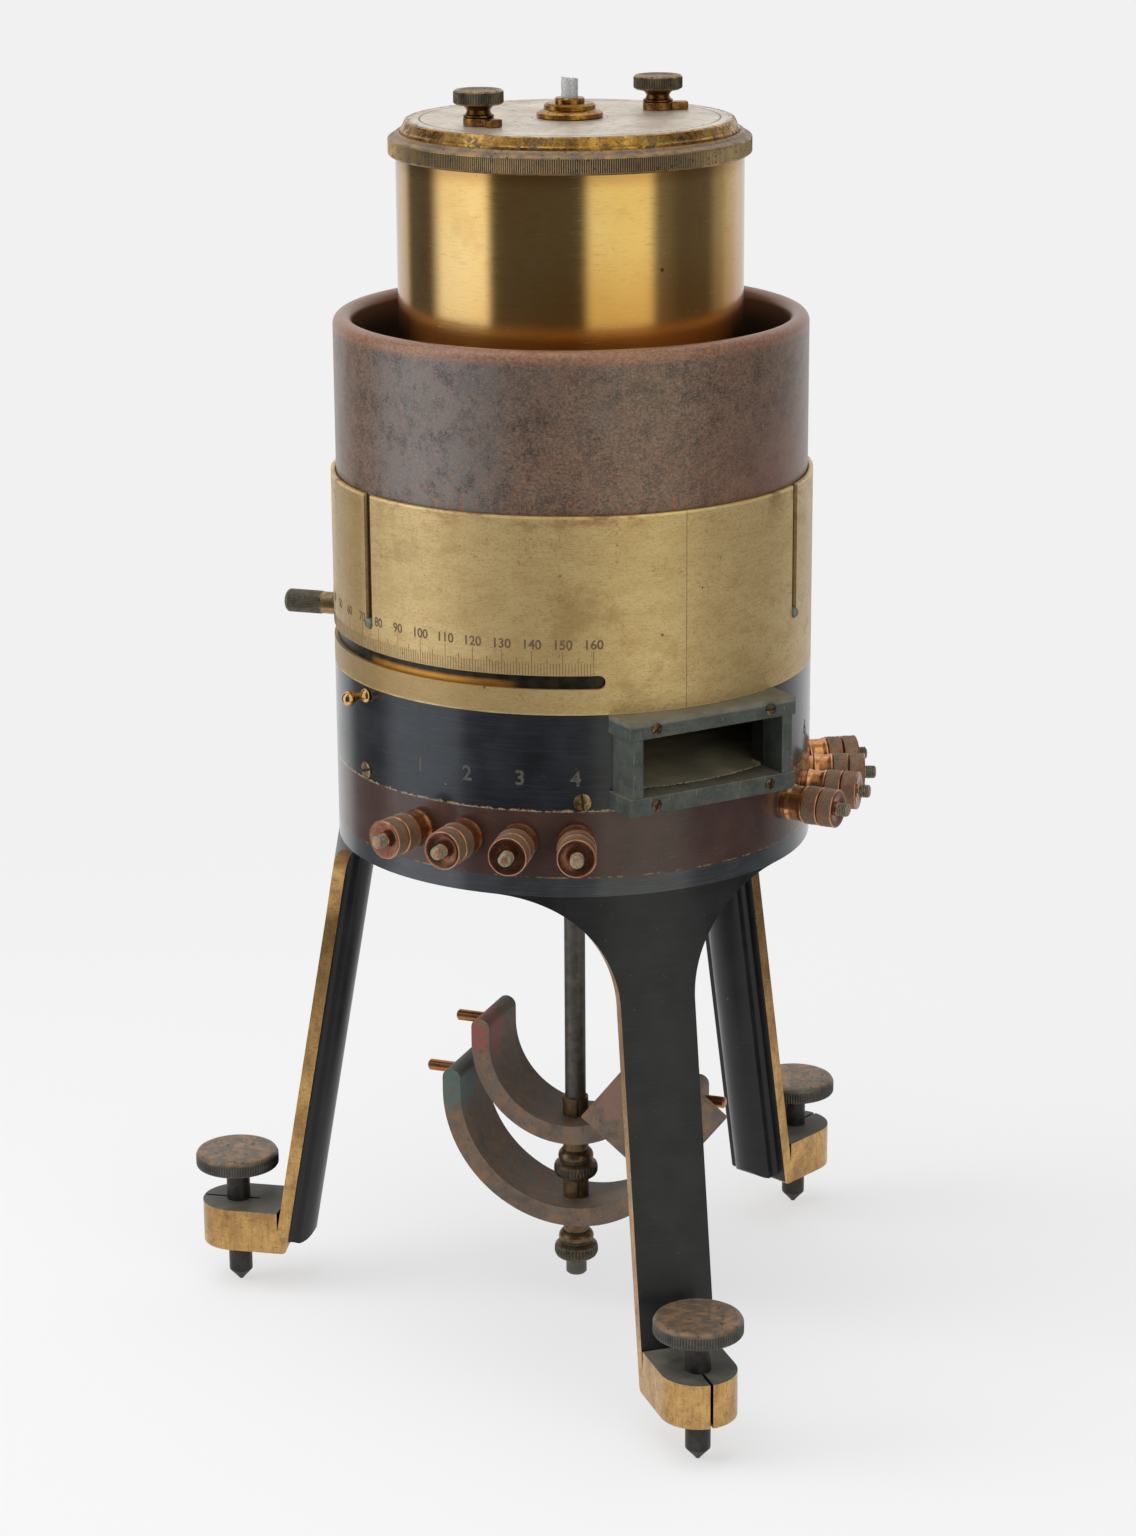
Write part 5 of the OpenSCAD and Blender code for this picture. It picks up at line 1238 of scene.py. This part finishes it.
def screwMesh(name, radius, head, shank, length, dome):
    rows = [(0, -length), (shank, -length), (shank, 0), (radius - 0.06, 0), (radius, 0.08),
            (radius, head - dome)]
    rows += [(radius * math.cos(math.radians(a)) ** 0.7, head - dome + dome * math.sin(math.radians(a)))
             for a in (25, 50, 72)] + [(0, head)]
    solid = turnedMesh(name, rows, screws["sides"])
    made = bmesh.new()
    place = Matrix.Translation((0, 0, head * (1.5 - screws["slotDepth"])))
    across = Matrix.Diagonal((2.4 * radius, radius * screws["slotWidth"], head, 1))
    bmesh.ops.create_cube(made, size=1, matrix=place @ across)
    cutter = bpy.data.meshes.new(name + "Slot")
    made.to_mesh(cutter)
    made.free()
    holder, knife = bpy.data.objects.new(name, solid), bpy.data.objects.new(name + "Slot", cutter)
    for item in (holder, knife):
        scene.collection.objects.link(item)
    cut = holder.modifiers.new("slot", "BOOLEAN")
    cut.operation, cut.solver, cut.object = "DIFFERENCE", "EXACT", knife
    bpy.context.view_layer.update()
    result = bpy.data.meshes.new_from_object(holder.evaluated_get(bpy.context.evaluated_depsgraph_get()))
    holder.modifiers.remove(cut)
    for item in (holder, knife):
        bpy.data.objects.remove(item)
    groove = result.attributes.new("groove", "FLOAT", "FACE")
    floorZ, half = head * (1 - screws["slotDepth"]), radius * screws["slotWidth"] / 2
    for polygon, item in zip(result.polygons, groove.data):
        middle = polygon.center
        item.value = float(floorZ - 0.01 < middle.z < head and abs(middle.y) < half + 0.001 and
                           (polygon.normal.z > 0.99 or abs(polygon.normal.y) > 0.99))
    result.transform(millimetres)
    return result


def setScrews(name, kind, node, finish, places):
    mesh = screwMesh(name, *screws[kind][:5])
    mesh = setRound(name, mesh, places, finish, chance=screws["turnChance"], seed=screws[kind][5])
    piece(name, mesh, "case", [node])


def makeScrews():
    azimuths = [screws["drumFirst"] + 360 * k / screws["drumCount"] for k in range(screws["drumCount"])]
    places = [(around(a, body["drum"], screws["drumHeight"]), around(a, 1).normalized()) for a in azimuths]
    setScrews("housingScrews", "drum", "housing_screws", "screw", places)
    places = [(Vector((x, -screws["windowFace"], z)) * 0.001, Vector((0, -1, 0)))
              for x in screws["windowX"] for z in screws["windowZ"]]
    setScrews("windowScrews", "window", "window_screws", "windowScrew", places)
    pads = [Vector((side, -screws["legCircle"], body["ringZ"])) * 0.001 for side in screws["legSide"]]
    places = [(spin(azimuth) @ pad, Vector((0, 0, 1))) for azimuth in legAzimuths.values() for pad in pads]
    setScrews("legScrews", "leg", "leg_screws", "screw", places)


makeScrews()
print("turned pieces and screws made")

# Window box with broken edges
window = {"edge": 0.3}
for node in ("window_top_bar", "window_bottom_bar", "window_left_cheek", "window_right_cheek"):
    words = node.split("_")
    name = words[0] + "".join(w.title() for w in words[1:])
    piece(name, softened(name, node, window["edge"], "window"), "case", [node])

# Scale: divisions, and a number at every tenth
scale = {"count": 161, "end": -26.3, "step": 0.7043, "low": 258.0, "unit": 4.0, "five": 5.6, "ten": 8.0,
         "width": 0.17, "thickness": 0.05, "sunk": 0.005, "digit": 4.3, "bold": 0.09, "numberZ": 266.7,
         "every": 10}
terminalDigits = {"size": 7.0, "bold": 0.14, "low": 221.0}


def numberMesh(name, text, size, azimuth, radius, low, finish, bold, thick=0.03):
    # plain digits in the default face, wrapped on a cylinder; sizes in millimetres
    curve = bpy.data.curves.new(name, "FONT")
    curve.body, curve.size, curve.align_x = text, size, "CENTER"
    curve.extrude, curve.offset = thick, bold
    holder = bpy.data.objects.new(name, curve)
    scene.collection.objects.link(holder)
    bpy.context.view_layer.update()
    mesh = bpy.data.meshes.new_from_object(holder.evaluated_get(bpy.context.evaluated_depsgraph_get()))
    bpy.data.objects.remove(holder)
    for vertex in mesh.vertices:
        u, v, w = vertex.co
        vertex.co = around(azimuth + math.degrees(u / radius), radius + w, low + v)
    mesh.materials.clear()
    mesh.materials.append(finishes[finish])
    return mesh


def makeScale():
    radius = body["drum"]
    empty = bpy.data.meshes.new("scaleSeed")
    start = scale["end"] - (scale["count"] - 1) * scale["step"]
    mesh = grown(empty, divisions, "scaleDivisions", count=scale["count"], start=math.radians(start),
                 step=math.radians(scale["step"]), radius=(radius - scale["sunk"]) * 0.001,
                 low=scale["low"] * 0.001, unit=scale["unit"] * 0.001, five=scale["five"] * 0.001,
                 ten=scale["ten"] * 0.001, width=scale["width"] * 0.001, thickness=scale["thickness"] * 0.001,
                 finish=finishes["mark"])
    piece("scaleDivisions", mesh, "case", [])
    digits = [numberMesh("scaleNumber", str(value), scale["digit"], start + value * scale["step"], radius,
                         scale["numberZ"], "mark", scale["bold"])
              for value in range(0, scale["count"], scale["every"])]
    piece("scaleNumbers", joined("scaleNumbers", digits), "case", [])
    plain = [numberMesh("terminalNumber", str(i + 1), terminalDigits["size"], azimuth, radius,
                        terminalDigits["low"], "number", terminalDigits["bold"])
             for i, azimuth in enumerate(terminalAzimuths)]
    piece("terminalNumbers", joined("terminalNumbers", plain), "case", [])


makeScale()
print("scale made")

# Legs: lacquered faces, bare brass side edges and foot lug; the sizes tell which faces are which
leg = {"edge": 0.3, "lugReach": 13.4, "bore": 4.5, "slit": 0.6, "side": 12.6, "sideTop": 182.5, "heel": 11.5,
       "under": 20}


def makeLeg(node, azimuth):
    name = node.split("_")[0] + "Leg"
    mesh = softened(name, node, leg["edge"], "leg", angle=38)
    mesh.materials.append(finishes["legBrass"])
    mesh.materials.append(finishes["lugTop"])
    back = spin(-azimuth)
    lugTop = body["lugTop"]
    for polygon in mesh.polygons:
        middle = back @ polygon.center * 1000
        facing = back.to_3x3() @ polygon.normal
        fromMiddle, fromScrew = abs(middle.x), math.hypot(middle.x, middle.y + body["footCircle"])
        beyondLeg = middle.y < -body["legFoot"] - 0.3
        onLug = middle.z < lugTop + 0.05 and (fromScrew < leg["lugReach"] or beyondLeg)
        inBore = fromScrew < leg["bore"] and abs(facing.z) < 0.8
        inSlit = fromMiddle < leg["slit"] and onLug and abs(facing.x) > 0.9
        onSide = fromMiddle > leg["side"] and (abs(facing.y) < 0.75 or middle.z < lugTop)
        onSide = onSide and middle.z < leg["sideTop"]
        onHeel = fromMiddle > leg["heel"] and middle.z < lugTop + 0.5 and facing.z < 0.8
        if onLug and not inBore and not inSlit:
            polygon.material_index = 2 if facing.z > 0.8 else 1
        elif onSide or onHeel or (facing.z < -0.5 and middle.z < leg["under"]):
            polygon.material_index = 1
    piece(name, mesh, "case", [node])


for node, azimuth in legAzimuths.items():
    makeLeg(node, azimuth)

# Levelling screws
foot = {"teeth": 96, "depth": 0.28, "head": 15.0, "low": 45.3, "thick": 6.0, "shaft": 4.25, "cone": 4.5,
        "tip": [(0, 0), (0.45, 0.05), (0.8, 0.25), (1.0, 0.6)]}


def makeFeet():
    radius, low, top, shaft = foot["head"], foot["low"], foot["low"] + foot["thick"], foot["shaft"]
    headRows = [(0, low), (shaft + 1, low, 0, 0, 0, 1), (radius - 1.0, low, 0, 0, 0.1, 1),
                (radius - 0.3, low + 0.35, 0, 0, 0.4, 1), (radius, low + 0.8, 1, 0, 0.1, 1),
                (radius, low + 2.6, 1, 0, 0.0, 1), (radius, top - 1.7, 1, 0, 0.1, 1),
                (radius - 0.1, top - 1.5, 0, 0, 0.7, 0.9), (radius - 0.3, top - 1.05, 0, 0, 0.5, 0.5),
                (radius - 0.7, top - 0.45, 0, 0, 0.7, 0.1), (radius - 1.3, top - 0.12, 0, 0, 0.4, 0),
                (radius - 2.4, top, 0, 0, 0.1, 0), (radius * 0.5, top, 0, 0, 0, 0), (0, top, 0, 0, 0, 0)]
    cone = foot["cone"]
    shaftRows = foot["tip"] + [(shaft - 0.3, cone - 0.65), (shaft - 0.06, cone - 0.35), (shaft, cone),
                               (shaft, 20), (shaft, low + 0.02), (0, low + 0.02)]
    head = turned("footHead", headRows, "foot", teeth=foot["teeth"], depth=foot["depth"])
    shaftMesh = turned("footShaft", shaftRows, "shaft", segments=48)
    for node, azimuth in legAzimuths.items():
        side = node.split("_")[0]
        place = uprightPlace(azimuth, body["footCircle"], 0)
        piece(side + "FootHead", placed(head, place), side + "_foot", [side + "_foot_screw"])
        piece(side + "FootShaft", placed(shaftMesh, place), side + "_foot", [])


makeFeet()
print("legs and feet made")

# Directing magnets and their keeper, with the place, reach and colour of each remnant of paint
magnets = {"azimuth": -51.5, "edge": 0.7, "keeperEdge": 0.35, "upperLow": 102.1 - 34.35,
           "lowerLow": 82.3 - 45.8,
           "upper": [((-34.3, -6, 104), 9, (138, 72, 70)), ((34.3, -8, 108), 7, (140, 92, 88))],
           "lower": [((-45.6, -6, 84), 11, (75, 96, 90)), ((45.6, -4, 88), 8, (134, 66, 62))],
           "keeper": [((22, -16, 88), 7, (128, 96, 84))]}


def paintPatches(key):
    turn = spin(magnets["azimuth"])
    return [(tuple(turn @ (Vector(place) * 0.001)), reach, tint(*colour))
            for place, reach, colour in magnets[key]]


finishes["upper"] = magnetIron("upperMagnetIron", paintPatches("upper"))
finishes["lower"] = magnetIron("lowerMagnetIron", paintPatches("lower"))
finishes["keeper"] = magnetIron("keeperIron", paintPatches("keeper"), (126, 106, 86))
magnetPieces = {"upper_magnet": "upper_pair", "lower_magnet": "lower_pair", "keeper_plate": "upper_pair"}
for node, rides in magnetPieces.items():
    first, second = node.split("_")
    edge = magnets["keeperEdge"] if first == "keeper" else magnets["edge"]
    mesh = softened(first + second.title(), node, edge, first, angle=45, segments=3)
    piece(first + second.title(), mesh, rides, [node])

# Clamp nuts: a wide knurled bead below a narrow one
clampNut = {"teeth": 40, "depth": 0.3, "radius": 7.85, "tier": 1.55, "bore": 4.6, "rodBore": 4.0, "gap": 6.5,
            "beadTop": 4.2, "beadLow": 6.65, "boreDepth": 8.55}


def makeClampNut(side, magnetLow):
    top = magnetLow - clampNut["gap"]
    step = top - clampNut["beadTop"]
    low, shoulder = step - clampNut["beadLow"], top - clampNut["boreDepth"]
    radius, tier = clampNut["radius"], clampNut["radius"] - clampNut["tier"]
    rows = [(clampNut["rodBore"], low), (radius - 2.9, low, 0, 0, 0.2), (radius - 1.7, low + 0.45, 0, 0, 0.3),
            (radius - 0.7, low + 1.2, 0, 0, 0.3), (radius - 0.15, low + 2.2, 1, 0, 0.1),
            (radius, low + 3.1, 1, 0, 0.1), (radius - 0.05, step - 2.2, 1, 0, 0.1),
            (radius - 0.4, step - 1.2, 0, 0, 0.4), (radius - 1.1, step - 0.5, 0, 0, 0.5),
            (tier - 0.5, step - 0.2, 0, 0, 0.1), (tier - 0.55, step + 0.2, 0, 0, 0.1),
            (tier - 0.15, step + 0.8, 0, 0, 0.3), (tier, step + 1.6, 0, 0, 0.5),
            (tier - 0.1, step + 2.5, 0, 0, 0.8), (tier - 0.45, step + 3.3, 0, 0, 1),
            (tier - 0.95, top - 0.35, 0, 0, 0.8), (tier - 1.3, top, 0, 0, 0.3), (clampNut["bore"], top),
            (clampNut["bore"], shoulder), (clampNut["rodBore"], shoulder)]
    mesh = turned(side + "ClampNut", rows, "clamp", teeth=clampNut["teeth"], depth=clampNut["depth"],
                  closed=True)
    piece(side + "ClampNut", placed(mesh), side + "_nut", [side + "_clamp_nut"])


makeClampNut("upper", magnets["upperLow"])
makeClampNut("lower", magnets["lowerLow"])
print("magnets and nuts made")
